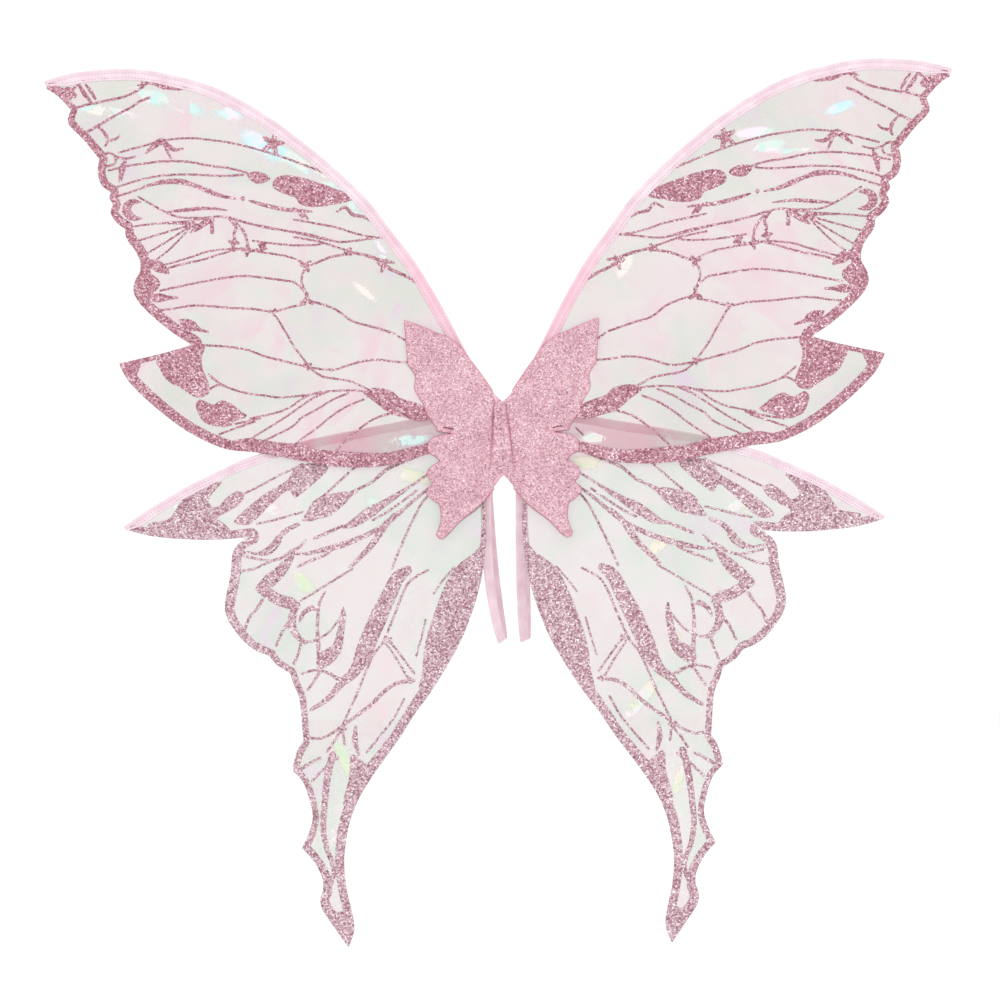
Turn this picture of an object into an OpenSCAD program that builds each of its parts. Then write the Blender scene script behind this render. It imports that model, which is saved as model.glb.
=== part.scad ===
// Costume fairy wings: two upper and two lower film wings on wire frames, joined by a
// glittered butterfly emblem with a pleated spine, and worn on two elastic arm loops.
// X runs to the right, Y towards the wearer and Z up. The origin is the middle of the
// spine's back face, which lies against the wearer's back.

/* [Upper wings] */
// Distance from the centre line to an upper wing tip
upper_span = 441; // [370:1:530]
// Height of the upper leading edge above the origin
upper_rise = 367; // [305:1:440]
// Width of the folded tape on the upper leading edge
upper_casing_w = 11; // [8:0.5:14]

/* [Lower wings] */
// Distance from the centre line to a lower wing tip
lower_span = 371; // [310:1:445]
// Depth of the tail tips below the origin
lower_drop = 487; // [405:1:585]
// Width of the folded tape on the lower leading edge
lower_casing_w = 9; // [7:0.5:12]

/* [Wire, tape and film] */
// Diameter of the spring wire
wire_d = 1.6; // [1.2:0.1:2.4]
// Thickness of the satin tape
tape_t = 0.4; // [0.3:0.1:0.8]
// Thickness of the film as a plain sheet
film_t = 0.4; // [0.3:0.1:0.8]
// Thickness of the clip's wall round each wire
clip_wall = 0.6; // [0.4:0.1:1.2]

/* [Emblem and spine] */
// Distance from the centre line to the emblem's upper point
emblem_reach = 94; // [78:1:113]
// Height of the emblem's upper points
emblem_top = 120; // [100:1:145]
// Depth of the emblem's lower points
emblem_bottom = 92; // [76:1:111]
// Thickness of the glitter sheet
emblem_t = 1.5; // [1:0.1:2.5]
// Thickness of the plain sheet on the wearer's side
backing_t = 1; // [0.8:0.1:2]
// Half the width of the spine, out to the fold lines
fold_x = 10; // [8:0.5:14]
// Height of a pleat above the spine's front
pleat_h = 1.1; // [0.6:0.1:2]

/* [Arm loops] */
// Width of the flat elastic
strap_w = 10; // [8:0.5:12]
// Thickness of the flat elastic
strap_t = 1.2; // [1:0.1:1.6]
// Length from the sewn tab down to the bottom of the loop
strap_drop = 193; // [160:1:235]
// How far the bottom of the loop hangs behind the tab
strap_lean = 34; // [28:1:42]
// Distance from the centre line to the middle of a loop
strap_x = 17; // [16:0.5:20]
// Height of the sewn tab
tab_h = 20; // [14:1:26]

/* [Fits] */
// Clearance round the wire in the tape and in the clip
wire_clear = 0.1; // [0.05:0.05:0.2]
// Clearance on each face of the film inside the tape
film_clear = 0.1; // [0.05:0.05:0.2]
// Gap between layers that lie on each other
layer_gap = 0.3; // [0.2:0.1:0.5]
// Gap on each side of a fold line in the glitter sheet
fold_gap = 0.5; // [0.4:0.1:1]
// Gap behind a fold line, where the layers close up
back_gap = 1; // [0.8:0.1:2]

/* [Hidden] */

glitter_pink = "#e57c98";
satin_pink = "#f6bdd0";
film_pink = "#e9d6dc";
film_pale = "#e6e3dd";
elastic_pink = "#f3a9c2";
thread_red = "#8c1030";
metal = "#b9bcc2";

// ---- the layers, from the wearer's side (y = 0) to the front ----
channel_r = wire_d / 2 + wire_clear;
bulb_r = channel_r + tape_t;
slot_h = film_t / 2 + film_clear;
leg_h = slot_h + tape_t;
lower_y = -(backing_t + layer_gap + bulb_r);
upper_y = lower_y - 2 * bulb_r - layer_gap;
inner_front_y = upper_y - bulb_r - layer_gap;
front_y = inner_front_y - emblem_t;

// ---- where the wires end ----
clip_r = channel_r + clip_wall;
wire_x = fold_x + back_gap + clip_r + 2;
clip_z = 30;
clip_len = 14;

// The shapes below are drawn for these sizes, and are stretched about the wires' end
DRAWN_UPPER = [441, 367];
DRAWN_LOWER = [371, -487];
DRAWN_ROOT = [15, 30];
DRAWN_EMBLEM = [94, 120, 92];
DRAWN_FOLD = 10;

// Upper wire, from the tip to where it turns down behind the emblem
UPPER_WIRE = [[439, 355], [423, 360], [400, 364], [357, 366], [319, 360], [278, 348],
    [236, 326], [201, 301], [166, 272], [131, 238], [107, 206], [84, 175], [61, 136],
    [46, 107], [30, 77], [21, 63], [15, 48]];
// Lower wire, from the tip to where it runs level behind the emblem
LOWER_WIRE = [[368, -77], [349, -64], [329, -52], [310, -41], [290, -31], [270, -22],
    [250, -13], [200, 2], [150, 12], [100, 21], [62, 28], [40, 30]];
// Upper film's free edge: each row is one lobe between two notches
UPPER_LOBES = [
    [[438, 349], [427, 342], [414, 328]],
    [[414, 328], [417, 315], [403, 300], [387, 280]],
    [[387, 280], [389, 267], [385, 254], [376, 248]],
    [[376, 248], [378, 242], [374, 236]],
    [[374, 236], [377, 228], [371, 218], [363, 212]],
    [[363, 212], [362, 203], [353, 190], [349, 180], [349, 171]],
    [[349, 171], [355, 160], [355, 148], [344, 133], [320, 112], [300, 99]],
    [[300, 99], [330, 91], [371, 82]],
    [[371, 82], [362, 65], [343, 45], [314, 21], [289, 6], [266, -3], [240, -6],
        [205, -13], [170, -20], [140, -22], [110, -20], [85, -13], [55, -6], [18, 0]]];
// Lower film's free edge, down the scallops to the tail and up the inner edge
LOWER_LOBES = [
    [[364, -80], [340, -86], [310, -89], [285, -90], [262, -89], [246, -87]],
    [[246, -87], [257, -93], [264, -103], [266, -122], [271, -145], [272, -159],
        [267, -172], [256, -187], [243, -198], [230, -203]],
    [[230, -203], [224, -211], [217, -216], [210, -220]],
    [[210, -220], [207, -231], [202, -242], [200, -256], [199, -272], [198, -286]],
    [[198, -286], [204, -295], [208, -308], [209, -315]],
    [[209, -315], [199, -326], [193, -343], [190, -360], [194, -375], [201, -390]],
    [[201, -390], [191, -401], [184, -413], [181, -422], [181, -431]],
    [[181, -431], [184, -440], [182, -450], [175, -461], [166, -474], [157, -487]],
    [[157, -487], [151, -470], [153, -452], [158, -430], [160, -405], [158, -385],
        [154, -365], [146, -345], [136, -328], [122, -308], [105, -285], [90, -262],
        [75, -242], [60, -219], [45, -193], [34, -167], [26, -142], [21, -118],
        [18, -90], [18, -60], [18, -20]]];
// Emblem's outline from the fold line over the upper point to the side slit
EMBLEM_UPPER = [
    [[10, 51], [18, 63], [28, 77], [40, 93], [52, 103]],
    [[52, 103], [64, 108], [78, 114], [94, 120]],
    [[94, 120], [93, 105], [92, 90], [91, 77]],
    [[91, 77], [84, 66], [85, 54], [80, 44]],
    [[80, 44], [76, 37], [74, 30], [67, 20], [63, 12]]];
// The slit's inner end, then the outline down to the lower point and the fold line
EMBLEM_SLIT = [47, 10];
EMBLEM_LOWER = [
    [[63, 8], [71, 3], [73, -7], [66, -12], [61, -17]],
    [[61, -17], [73, -25], [72, -34], [68, -38]],
    [[68, -38], [75, -46], [70, -53], [62, -59]],
    [[62, -59], [61, -74], [66, -88]],
    [[66, -88], [62, -92], [55, -88], [44, -76], [30, -65], [20, -56], [10, -44]]];
// Spine's ends between the fold lines
SPINE_TOP = [[5, 44], [0, 40], [-5, 44]];
SPINE_FOOT = [[-4, -35], [0, -31], [4, -35]];

// ---- functions ----

// One span of a smooth curve from b to c, with a and d as its neighbours
function span_point(a, b, c, d, t) =
    0.5 * (2 * b + (c - a) * t + (2 * a - 5 * b + 4 * c - d) * t * t
        + (3 * b - a - 3 * c + d) * t * t * t);

// A smooth curve through all the points p, with n steps between each two
function smooth(p, n) = [
    for (i = [0:len(p) - 2], j = [0:n - 1])
        span_point(p[max(i - 1, 0)], p[i], p[i + 1], p[min(i + 2, len(p) - 1)], j / n),
    p[len(p) - 1]];

// All the lobes of an edge, joined at their notches
function joined(lobes, n) = [for (lobe = lobes) each smooth(lobe, n)];

function stretched(p, root, drawn, real) = [
    root[0] + (p[0] - DRAWN_ROOT[0]) * (real[0] - root[0]) / (drawn[0] - DRAWN_ROOT[0]),
    root[1] + (p[1] - DRAWN_ROOT[1]) * (real[1] - root[1]) / (drawn[1] - DRAWN_ROOT[1])];

function upper_at(p) = stretched(p, [wire_x, clip_z], DRAWN_UPPER, [upper_span, upper_rise]);
function lower_at(p) = stretched(p, [wire_x, clip_z], DRAWN_LOWER, [lower_span, -lower_drop]);

// The emblem's points follow its own reach and heights, from the fold line outwards
function emblem_at(p) = [
    abs(p[0]) < DRAWN_FOLD ? p[0] * fold_x / DRAWN_FOLD
        : fold_x + (p[0] - DRAWN_FOLD) * (emblem_reach - fold_x)
            / (DRAWN_EMBLEM[0] - DRAWN_FOLD),
    p[1] * (p[1] > 0 ? emblem_top / DRAWN_EMBLEM[1] : emblem_bottom / DRAWN_EMBLEM[2])];

// Unit direction of a path at its point i
function heading(p, i) =
    let (d = p[min(i + 1, len(p) - 1)] - p[max(i - 1, 0)]) d / norm(d);

// The path moved sideways by d, to the left of its direction
function beside(p, d) = [
    for (i = [0:len(p) - 1]) let (h = heading(p, i)) p[i] + d * [-h[1], h[0]]];

// Points of an arc round c, from angle a0 to a1, as n steps
function arc(c, r, a0, a1, n) = [
    for (i = [0:n]) let (a = a0 + (a1 - a0) * i / n) c + r * [cos(a), sin(a)]];

upper_path = [for (p = smooth(UPPER_WIRE, 3)) upper_at(p)];
lower_path = [for (p = smooth(LOWER_WIRE, 3)) lower_at(p)];

// ---- shared modules ----

// Draws the right-hand piece, or its mirror image on the left
module sided(side) {
    mirror([side < 0 ? 1 : 0, 0, 0]) children();
}

// A flat sheet from its outline in X and Z, from y0 towards the wearer
module sheet(y0, t) {
    translate([0, y0 + t, 0]) rotate([90, 0, 0]) linear_extrude(t) children();
}

// A solid swept along a path in X and Z. Each ring is a list of [inwards, y] points, and
// caps are the triangles that close one end
module sweep(path, rings, caps, y0) {
    m = len(rings[0]);
    last = len(path) - 1;
    points = [for (i = [0:last]) let (h = heading(path, i), inward = [-h[1], h[0]])
        for (q = rings[i]) [path[i][0] + q[0] * inward[0], y0 + q[1],
            path[i][1] + q[0] * inward[1]]];
    sides = [for (i = [0:last - 1], j = [0:m - 1]) let (k = (j + 1) % m)
        each [[i * m + j, i * m + k, (i + 1) * m + k],
            [i * m + j, (i + 1) * m + k, (i + 1) * m + j]]];
    polyhedron(points, concat(sides, [for (c = caps) [c[2], c[1], c[0]]],
        [for (c = caps) [for (j = c) last * m + j]]), convexity = 6);
}

// Folded tape: a fold round the wire, and two legs that reach w inwards over the film.
// The outer side comes first, and the inner side follows it backwards, point for point
TAPE_STEPS = 7;
function tape_section(w) = concat(
    [[w - bulb_r, -leg_h]],
    arc([0, 0], bulb_r, -asin(leg_h / bulb_r), asin(leg_h / bulb_r) - 360, TAPE_STEPS),
    [[w - bulb_r, leg_h], [w - bulb_r, slot_h]],
    arc([0, 0], channel_r, asin(slot_h / channel_r), 360 - asin(slot_h / channel_r),
        TAPE_STEPS),
    [[w - bulb_r, -slot_h]]);

tape_caps = let (m = 2 * TAPE_STEPS + 6)
    [for (j = [0:TAPE_STEPS + 1]) each [[j, j + 1, m - 2 - j], [j, m - 2 - j, m - 1 - j]]];

// The tape widens from its folded tip over the first part of the path
TIP_FOLD_W = 5;
TIP_FLARE = 0.3;
function tape_width(path, i, w) = min(w, TIP_FOLD_W + TIP_FLARE * norm(path[i] - path[0]));

module casing(path, w, y0) {
    color(satin_pink) sweep(path,
        [for (i = [0:len(path) - 1]) tape_section(tape_width(path, i, w))], tape_caps, y0);
}

WIRE_SIDES = 8;
module wire(path, y0) {
    ring = arc([0, 0], wire_d / 2, 0, 360 - 360 / WIRE_SIDES, WIRE_SIDES - 1);
    color(metal) sweep(path, [for (p = path) ring],
        [for (j = [1:WIRE_SIDES - 2]) [0, j, j + 1]], y0);
}

module emblem_half() {
    polygon([for (p = concat(joined(EMBLEM_UPPER, 3), [EMBLEM_SLIT],
        joined(EMBLEM_LOWER, 3))) emblem_at(p)]);
}

module spine_outline(half) {
    polygon(concat([[half, emblem_at([DRAWN_FOLD, 50])[1]]],
        [for (p = SPINE_TOP) emblem_at(p)],
        [[-half, emblem_at([DRAWN_FOLD, 50])[1]], [-half, emblem_at([DRAWN_FOLD, -43])[1]]],
        [for (p = SPINE_FOOT) emblem_at(p)],
        [[half, emblem_at([DRAWN_FOLD, -43])[1]]]));
}

// ---- spine ----

spine_half = fold_x - fold_gap;
core_half = fold_x - 4;
core_top = emblem_at([0, 34])[1];
core_foot = emblem_at([0, -26])[1];
stay_w = 6;
stay_t = 1.5;
core_margin = 4;
stitch_x = fold_x - 2.5;
stitch_pitch = 8;
stitch_r = 0.4;

module spine_front() {
    color(glitter_pink) {
        sheet(front_y, emblem_t) spine_outline(spine_half);
        intersection() {
            sheet(front_y - pleat_h, pleat_h + 0.1) spine_outline(spine_half);
            for (x = [-0.62, -0.2, 0.22, 0.64])
                translate([x * fold_x, front_y + 0.6, core_foot - 20])
                    cylinder(h = core_top - core_foot + 40, r = pleat_h + 0.6, $fn = 32);
        }
    }
}

module spine_core() {
    color(satin_pink) difference() {
        translate([-core_half, inner_front_y, core_foot])
            cube([2 * core_half, -backing_t - inner_front_y, core_top - core_foot]);
        translate([-stay_w / 2 - wire_clear, (inner_front_y - backing_t - stay_t) / 2
            - wire_clear, core_foot + core_margin])
            cube([stay_w + 2 * wire_clear, stay_t + 2 * wire_clear,
                core_top - core_foot - 2 * core_margin]);
    }
}

module spine_stay() {
    color("white")
        translate([-stay_w / 2, (inner_front_y - backing_t - stay_t) / 2,
            core_foot + core_margin + wire_clear])
            cube([stay_w, stay_t, core_top - core_foot - 2 * core_margin - 2 * wire_clear]);
}

module spine_back() {
    color(satin_pink) sheet(-backing_t, backing_t) spine_outline(fold_x - back_gap / 2);
}

module spine_stitching() {
    color(thread_red)
        for (x = [-stitch_x, stitch_x], z = [core_foot + 2:stitch_pitch:core_top])
            translate([x, -stitch_r / 2, z]) rotate([90, 0, 0])
                cylinder(h = -stitch_r - front_y, r = stitch_r, $fn = 16);
}

// ---- emblem ----

module emblem_front(side) {
    color(glitter_pink) sided(side) sheet(front_y, emblem_t) intersection() {
        emblem_half();
        translate([fold_x + fold_gap, -2 * emblem_bottom])
            square([2 * emblem_reach, 2 * (emblem_top + emblem_bottom)]);
    }
}

module emblem_back(side) {
    color(satin_pink) sided(side) sheet(-backing_t, backing_t) intersection() {
        emblem_half();
        translate([fold_x + back_gap, -2 * emblem_bottom])
            square([2 * emblem_reach, 2 * (emblem_top + emblem_bottom)]);
    }
}

tack_h = 0.6;
tack_w = 1;

module tack(from, to, y_face) {
    d = to - from;
    translate([from[0], y_face - tack_h, from[1]]) rotate([0, -atan2(d[1], d[0]), 0])
        translate([0, 0, -tack_w / 2]) cube([norm(d), tack_h, tack_w]);
}

module emblem_tacks(side) {
    color(thread_red) sided(side) {
        tack(emblem_at([47, 14]), emblem_at([58, 16]), front_y);
        tack(upper_at([98, 30]), upper_at([106, 24]), upper_y - film_t / 2);
    }
}

// ---- films ----

film_inset = channel_r + wire_clear;

module upper_film(side) {
    edge = beside(upper_path, film_inset);
    color(film_pink) sided(side) sheet(upper_y - film_t / 2, film_t)
        polygon(concat([for (i = [len(edge) - 1:-1:1]) edge[i]],
            [for (p = joined(UPPER_LOBES, 3)) upper_at(p)],
            [[wire_x + clip_r + layer_gap, edge[len(edge) - 1][1]
                - clip_r]]));
}

module lower_film(side) {
    edge = beside(lower_path, film_inset);
    color(film_pale) sided(side) sheet(lower_y - film_t / 2, film_t)
        polygon(concat([for (i = [len(edge) - 1:-1:1]) edge[i]],
            [for (p = joined(LOWER_LOBES, 3)) lower_at(p)],
            [[lower_at([18, 0])[0], clip_z - clip_r - layer_gap],
                [edge[len(edge) - 1][0] - clip_r, clip_z - clip_r - layer_gap]]));
}

// ---- frames ----

module upper_casing(side) {
    sided(side) casing(upper_path, upper_casing_w, upper_y);
}

module lower_casing(side) {
    sided(side) casing(lower_path, lower_casing_w, lower_y);
}

module upper_wire(side) {
    sided(side) wire(concat([for (i = [1:len(upper_path) - 1]) upper_path[i]],
        [[wire_x, clip_z + clip_len / 2], [wire_x, clip_z - clip_len / 4]]), upper_y);
}

module lower_wire(side) {
    sided(side) wire(concat([for (i = [1:len(lower_path) - 1]) lower_path[i]],
        [[wire_x + clip_len, clip_z], [wire_x, clip_z]]), lower_y);
}

module wire_clip(side) {
    color(metal) sided(side) difference() {
        union() {
            translate([wire_x, upper_y, clip_z - clip_len / 2])
                cylinder(h = clip_len, r = clip_r, $fn = 32);
            translate([wire_x - clip_r, lower_y, clip_z]) rotate([0, 90, 0])
                cylinder(h = clip_len, r = clip_r, $fn = 32);
            translate([wire_x - clip_r, upper_y, clip_z - clip_r])
                cube([2 * clip_r, lower_y - upper_y, 2 * clip_r]);
        }
        translate([wire_x, upper_y, clip_z - clip_len])
            cylinder(h = 2 * clip_len, r = channel_r, $fn = 32);
        translate([wire_x - 2 * clip_r, lower_y, clip_z]) rotate([0, 90, 0])
            cylinder(h = 2 * clip_len, r = channel_r, $fn = 32);
    }
}

// ---- arm loops ----

strap_y = strap_t + layer_gap;
tab_w = strap_w + 2;
tab_foot = strap_t + layer_gap;
tab_seam = 2;

module strap_tab(side) {
    color(elastic_pink) sided(side)
        translate([strap_x - tab_w / 2, 0, tab_foot]) cube([tab_w, 2 * strap_t, tab_h]);
}

module tab_stitching(side) {
    low = [strap_x - tab_w / 2 + tab_seam, tab_foot + tab_seam];
    high = [strap_x + tab_w / 2 - tab_seam, tab_foot + tab_h - tab_seam];
    back = 2 * strap_t + tack_h;
    color(thread_red) sided(side) {
        tack(low, [high[0], low[1]], back);
        tack([low[0], high[1]], high, back);
        tack([low[0], low[1] + tack_w], [low[0], high[1] - tack_w], back);
        tack([high[0], low[1] + tack_w], [high[0], high[1] - tack_w], back);
    }
}

// The loop's centre line: down the front strand, round the bottom and up the back one
function loop_point(u) =
    let (s = (1 - cos(u)) / 2)
        [strap_y + strap_lean * s - (strap_t / 2 + strap_lean * s) * cos(u / 2),
            -strap_drop * s];

module strap_loop(side) {
    turn = [for (u = [4, each [10:10:350], 356]) loop_point(u)];
    hollow = beside([for (u = [40:10:320]) loop_point(u)], strap_t / 2);
    color(elastic_pink) sided(side) translate([strap_x - strap_w / 2, 0, 0])
        rotate([90, 0, 90]) linear_extrude(strap_w) difference() {
            union() {
                polygon(beside(turn, -strap_t / 2));
                translate([strap_y, 0]) circle(r = strap_t, $fn = 32);
            }
            polygon(hollow);
        }
}

// ---- the pieces ----
spine_front();
spine_core();
spine_stay();
spine_back();
spine_stitching();
emblem_front(-1);  // emblem_front_left
emblem_front(1);  // emblem_front_right
emblem_back(-1);  // emblem_back_left
emblem_back(1);  // emblem_back_right
emblem_tacks(-1);  // emblem_tacks_left
emblem_tacks(1);  // emblem_tacks_right
upper_film(-1);  // upper_film_left
upper_film(1);  // upper_film_right
upper_casing(-1);  // upper_casing_left
upper_casing(1);  // upper_casing_right
upper_wire(-1);  // upper_wire_left
upper_wire(1);  // upper_wire_right
lower_film(-1);  // lower_film_left
lower_film(1);  // lower_film_right
lower_casing(-1);  // lower_casing_left
lower_casing(1);  // lower_casing_right
lower_wire(-1);  // lower_wire_left
lower_wire(1);  // lower_wire_right
wire_clip(-1);  // wire_clip_left
wire_clip(1);  // wire_clip_right
strap_tab(-1);  // strap_tab_left
strap_tab(1);  // strap_tab_right
tab_stitching(-1);  // tab_stitching_left
tab_stitching(1);  // tab_stitching_right
strap_loop(-1);  // strap_loop_left
strap_loop(1);  // strap_loop_right
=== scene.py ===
import math

import bpy
import numpy as np
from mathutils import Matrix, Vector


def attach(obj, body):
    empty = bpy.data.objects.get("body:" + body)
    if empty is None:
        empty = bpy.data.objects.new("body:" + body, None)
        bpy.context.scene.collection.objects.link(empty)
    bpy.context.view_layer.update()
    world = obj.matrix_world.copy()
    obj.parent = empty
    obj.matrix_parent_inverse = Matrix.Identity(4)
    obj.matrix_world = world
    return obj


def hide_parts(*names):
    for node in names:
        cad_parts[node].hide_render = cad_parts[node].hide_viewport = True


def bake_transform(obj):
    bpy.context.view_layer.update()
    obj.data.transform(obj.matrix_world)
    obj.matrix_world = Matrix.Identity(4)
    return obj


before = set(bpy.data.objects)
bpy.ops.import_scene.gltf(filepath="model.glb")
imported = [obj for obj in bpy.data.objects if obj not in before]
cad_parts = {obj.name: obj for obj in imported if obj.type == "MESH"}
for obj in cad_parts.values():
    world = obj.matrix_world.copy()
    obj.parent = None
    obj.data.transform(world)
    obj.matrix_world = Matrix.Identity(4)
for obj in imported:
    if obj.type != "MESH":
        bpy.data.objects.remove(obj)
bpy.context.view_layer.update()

# Sizes are in millimetres, and become metres where a mesh is made. Every wing piece is drawn
# on the right-hand side, and the left-hand one is its mirror image with its own creases.


# ---- Studio ----
# A pale floor under the wings, a white room round them, and three soft lights. The camera
# stands level in front of them, turned by less than a degree.
camera = bpy.data.objects.new("camera", bpy.data.cameras.new("camera"))
bpy.context.scene.collection.objects.link(camera)
camera.location = (-0.0039, -3.2, -0.0552)
camera.rotation_euler = (math.radians(90), math.radians(0.8), 0)
camera.data.sensor_width = 36
camera.data.lens = 118.8
bpy.context.scene.camera = camera

room = bpy.data.worlds.new("white_room")
room.use_nodes = True
room.node_tree.nodes["Background"].inputs["Color"].default_value = (1, 1, 1, 1)
room.node_tree.nodes["Background"].inputs["Strength"].default_value = 1.06
bpy.context.scene.world = room
bpy.context.scene.view_settings.view_transform = "Standard"


def soft_light(name, place, size, power):
    """A square area light that faces the middle of the wings."""
    lamp = bpy.data.lights.new(name, "AREA")
    lamp.size = size
    lamp.energy = power
    light = bpy.data.objects.new(name, lamp)
    light.location = place
    light.rotation_euler = (-Vector(place)).to_track_quat("-Z", "Y").to_euler()
    bpy.context.scene.collection.objects.link(light)


soft_light("light_upper_left", (-1.6, -2.2, 1.7), 0.6, 9)
soft_light("light_right", (1.9, -2.0, 0.7), 0.7, 6)
soft_light("light_behind", (0.5, 2.4, 1.6), 0.8, 9)


class Material:
    """A procedural material. Each method adds a node and gives its result. A value that is a
    node's result is linked to the socket, and any other value is set on it."""

    def __init__(self, name):
        self.made = bpy.data.materials.new(name)
        self.made.use_nodes = True
        self.tree = self.made.node_tree

    def set_sockets(self, node, values):
        for key, value in values.items():
            if isinstance(value, bpy.types.NodeSocket):
                self.tree.links.new(value, node.inputs[key])
            else:
                node.inputs[key].default_value = value

    def node(self, kind, values=(), **settings):
        new = self.tree.nodes.new("ShaderNode" + kind)
        for key, value in settings.items():
            setattr(new, key, value)
        self.set_sockets(new, dict(values))
        return new.outputs

    def place(self):
        return self.node("TexCoord")["Object"]

    def number(self, name):
        return self.node("Attribute", attribute_name=name)["Fac"]

    def math(self, operation, *values, clamp=False):
        return self.node("Math", dict(enumerate(values)), operation=operation,
            use_clamp=clamp)[0]

    def mapped(self, value, low, high, start=0.0, end=1.0):
        return self.node("MapRange", {"Value": value, "From Min": start, "From Max": end,
            "To Min": low, "To Max": high})["Result"]

    def noise(self, vector, scale, detail, **more):
        return self.node("TexNoise", {"Vector": vector, "Scale": scale, "Detail": detail,
            **more})["Fac"]

    def cells(self, vector, scale):
        """A pattern of cells, and three chances that differ from one cell to the next."""
        cells = self.node("TexVoronoi", {"Vector": vector, "Scale": scale})
        return cells, self.node("SeparateColor", {"Color": cells["Color"]})

    def tilted(self, cells, amount):
        """The surface's direction, turned a random way in each cell."""
        tilt = self.node("VectorMath", {0: cells["Color"], 1: (0.5, 0.5, 0.5)},
            operation="SUBTRACT")[0]
        turned = self.node("VectorMath", {0: tilt, 1: (amount, amount, amount),
            2: self.node("NewGeometry")["Normal"]}, operation="MULTIPLY_ADD")[0]
        return self.node("VectorMath", {0: turned}, operation="NORMALIZE")[0]

    def bump(self, height, strength, distance):
        return self.node("Bump", {"Height": height, "Strength": strength,
            "Distance": distance})["Normal"]

    def mix(self, factor, first, second):
        return self.node("Mix", {"Factor": factor, 6: first, 7: second},
            data_type="RGBA")[2]

    def ramp(self, factor, stops):
        """A colour ramp that a factor drives. Each stop is a position and a colour."""
        node = self.tree.nodes.new("ShaderNodeValToRGB")
        self.set_sockets(node, {"Fac": factor})
        bands = node.color_ramp.elements
        while len(bands) < len(stops):
            bands.new(0.5)
        for band, (position, colour) in zip(bands, stops):
            band.position = position
            band.color = colour
        return node.outputs["Color"]

    def finish(self, values):
        """Sets the shader's sockets, and gives the Blender material."""
        self.set_sockets(self.tree.nodes["Principled BSDF"], values)
        return self.made


def srgb(*levels):
    """A colour given as 0 to 255 levels, made linear as the shader needs it."""
    c = np.array(levels) / 255
    return (*np.where(c < 0.04045, c / 12.92, ((c + 0.055) / 1.055) ** 2.4), 1.0)


ground = Material("floor")
grain = ground.noise(ground.place(), 9.0, 4.0)
floor_material = ground.finish({
    "Base Color": ground.ramp(grain, [(0.3, srgb(247, 246, 246)), (0.7, srgb(251, 250, 250))]),
    "Roughness": 0.8})
floor_mesh = bpy.data.meshes.new("floor")
floor_mesh.from_pydata(
    [(-4, -4, -0.53), (4, -4, -0.53), (4, 4, -0.53), (-4, 4, -0.53)], [], [(0, 1, 2, 3)])
floor_mesh.materials.append(floor_material)
floor = bpy.data.objects.new("floor", floor_mesh)
bpy.context.scene.collection.objects.link(floor)


# ---- Wire frames ----
# Two lengths of spring steel wire hold each side's outline. A crimped metal clip joins them
# under the emblem. They are inside the tape and the emblem, so they show only when it opens.
wire = Material("spring_steel")
marks = wire.noise(wire.place(), 1400.0, 3.0, Roughness=0.6)
steel = wire.finish({
    "Base Color": wire.ramp(marks, [(0.3, srgb(150, 151, 154)), (0.7, srgb(186, 187, 190))]),
    "Roughness": wire.mapped(marks, 0.22, 0.42),
    "Normal": wire.bump(marks, 0.15, 0.0002),
    "Metallic": 1.0})


def finish_cad(material, *names):
    """Gives pieces of the CAD model a finish in place of the plain one they load with."""
    for name in names:
        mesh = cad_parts[name].data
        mesh.materials.clear()
        mesh.materials.append(material)


finish_cad(steel, "upper_wire_left", "upper_wire_right", "lower_wire_left",
    "lower_wire_right", "wire_clip_left", "wire_clip_right")


# ---- Upper wings: film ----
# Each upper wing is one sheet of iridescent plastic film, cut along five scallops, a pointed
# lobe and a curved lower edge. Its top edge is held flat in the tape, and it is creased.
UPPER_WIRE = [(439, 355), (423, 360), (400, 364), (357, 366), (319, 360), (278, 348),
    (236, 326), (201, 301), (166, 272), (131, 238), (107, 206), (84, 175), (61, 136),
    (46, 107), (30, 77), (21, 63), (15, 48)]
UPPER_LOBES = [
    [(438, 349), (427, 342), (414, 328)],
    [(414, 328), (417, 315), (403, 300), (387, 280)],
    [(387, 280), (389, 267), (385, 254), (376, 248)],
    [(376, 248), (378, 242), (374, 236)],
    [(374, 236), (377, 228), (371, 218), (363, 212)],
    [(363, 212), (362, 203), (353, 190), (349, 180), (349, 171)],
    [(349, 171), (355, 160), (355, 148), (344, 133), (320, 112), (300, 99)],
    [(300, 99), (330, 91), (371, 82)],
    [(371, 82), (362, 65), (343, 45), (314, 21), (289, 6), (266, -3), (240, -6),
        (205, -13), (170, -20), (140, -22), (110, -20), (85, -13), (55, -6), (18, 0)]]
UPPER_REACH, UPPER_BOARD = 441, ((10, -26), (446, 370))
WIRE_X, DRAWN_WIRE_X = 14.5, 15
FILM_INSET = 1.0
UPPER_Y, LOWER_Y = -5.5, -2.6
FILM_HALF = 0.06
FILM_GRID, PRINT_GRID, CLOTH_GRID = 3.0, 1.0, 0.8
WIRE_STEPS, EDGE_STEPS, EMBLEM_STEPS = 3, 3, 4


def smooth(points, steps):
    """A curve through all the points: each span is a cubic that leaves a point along the line
    between that point's two neighbours."""
    p = np.array(points, float)
    before, start, end, after = (p[np.clip(np.arange(len(p) - 1) + k, 0, len(p) - 1)]
        for k in (-1, 0, 1, 2))
    t = (np.arange(steps) / steps)[None, :, None]
    a, b, c, d = (q[:, None, :] for q in (before, start, end, after))
    spans = 0.5 * (2 * b + (c - a) * t + (2 * a - 5 * b + 4 * c - d) * t ** 2
        + (3 * b - a - 3 * c + d) * t ** 3)
    return np.vstack([spans.reshape(-1, 2), p[-1:]])


def unit(v):
    """Vectors made one long."""
    return v / np.linalg.norm(v, axis=1)[:, None]


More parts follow.
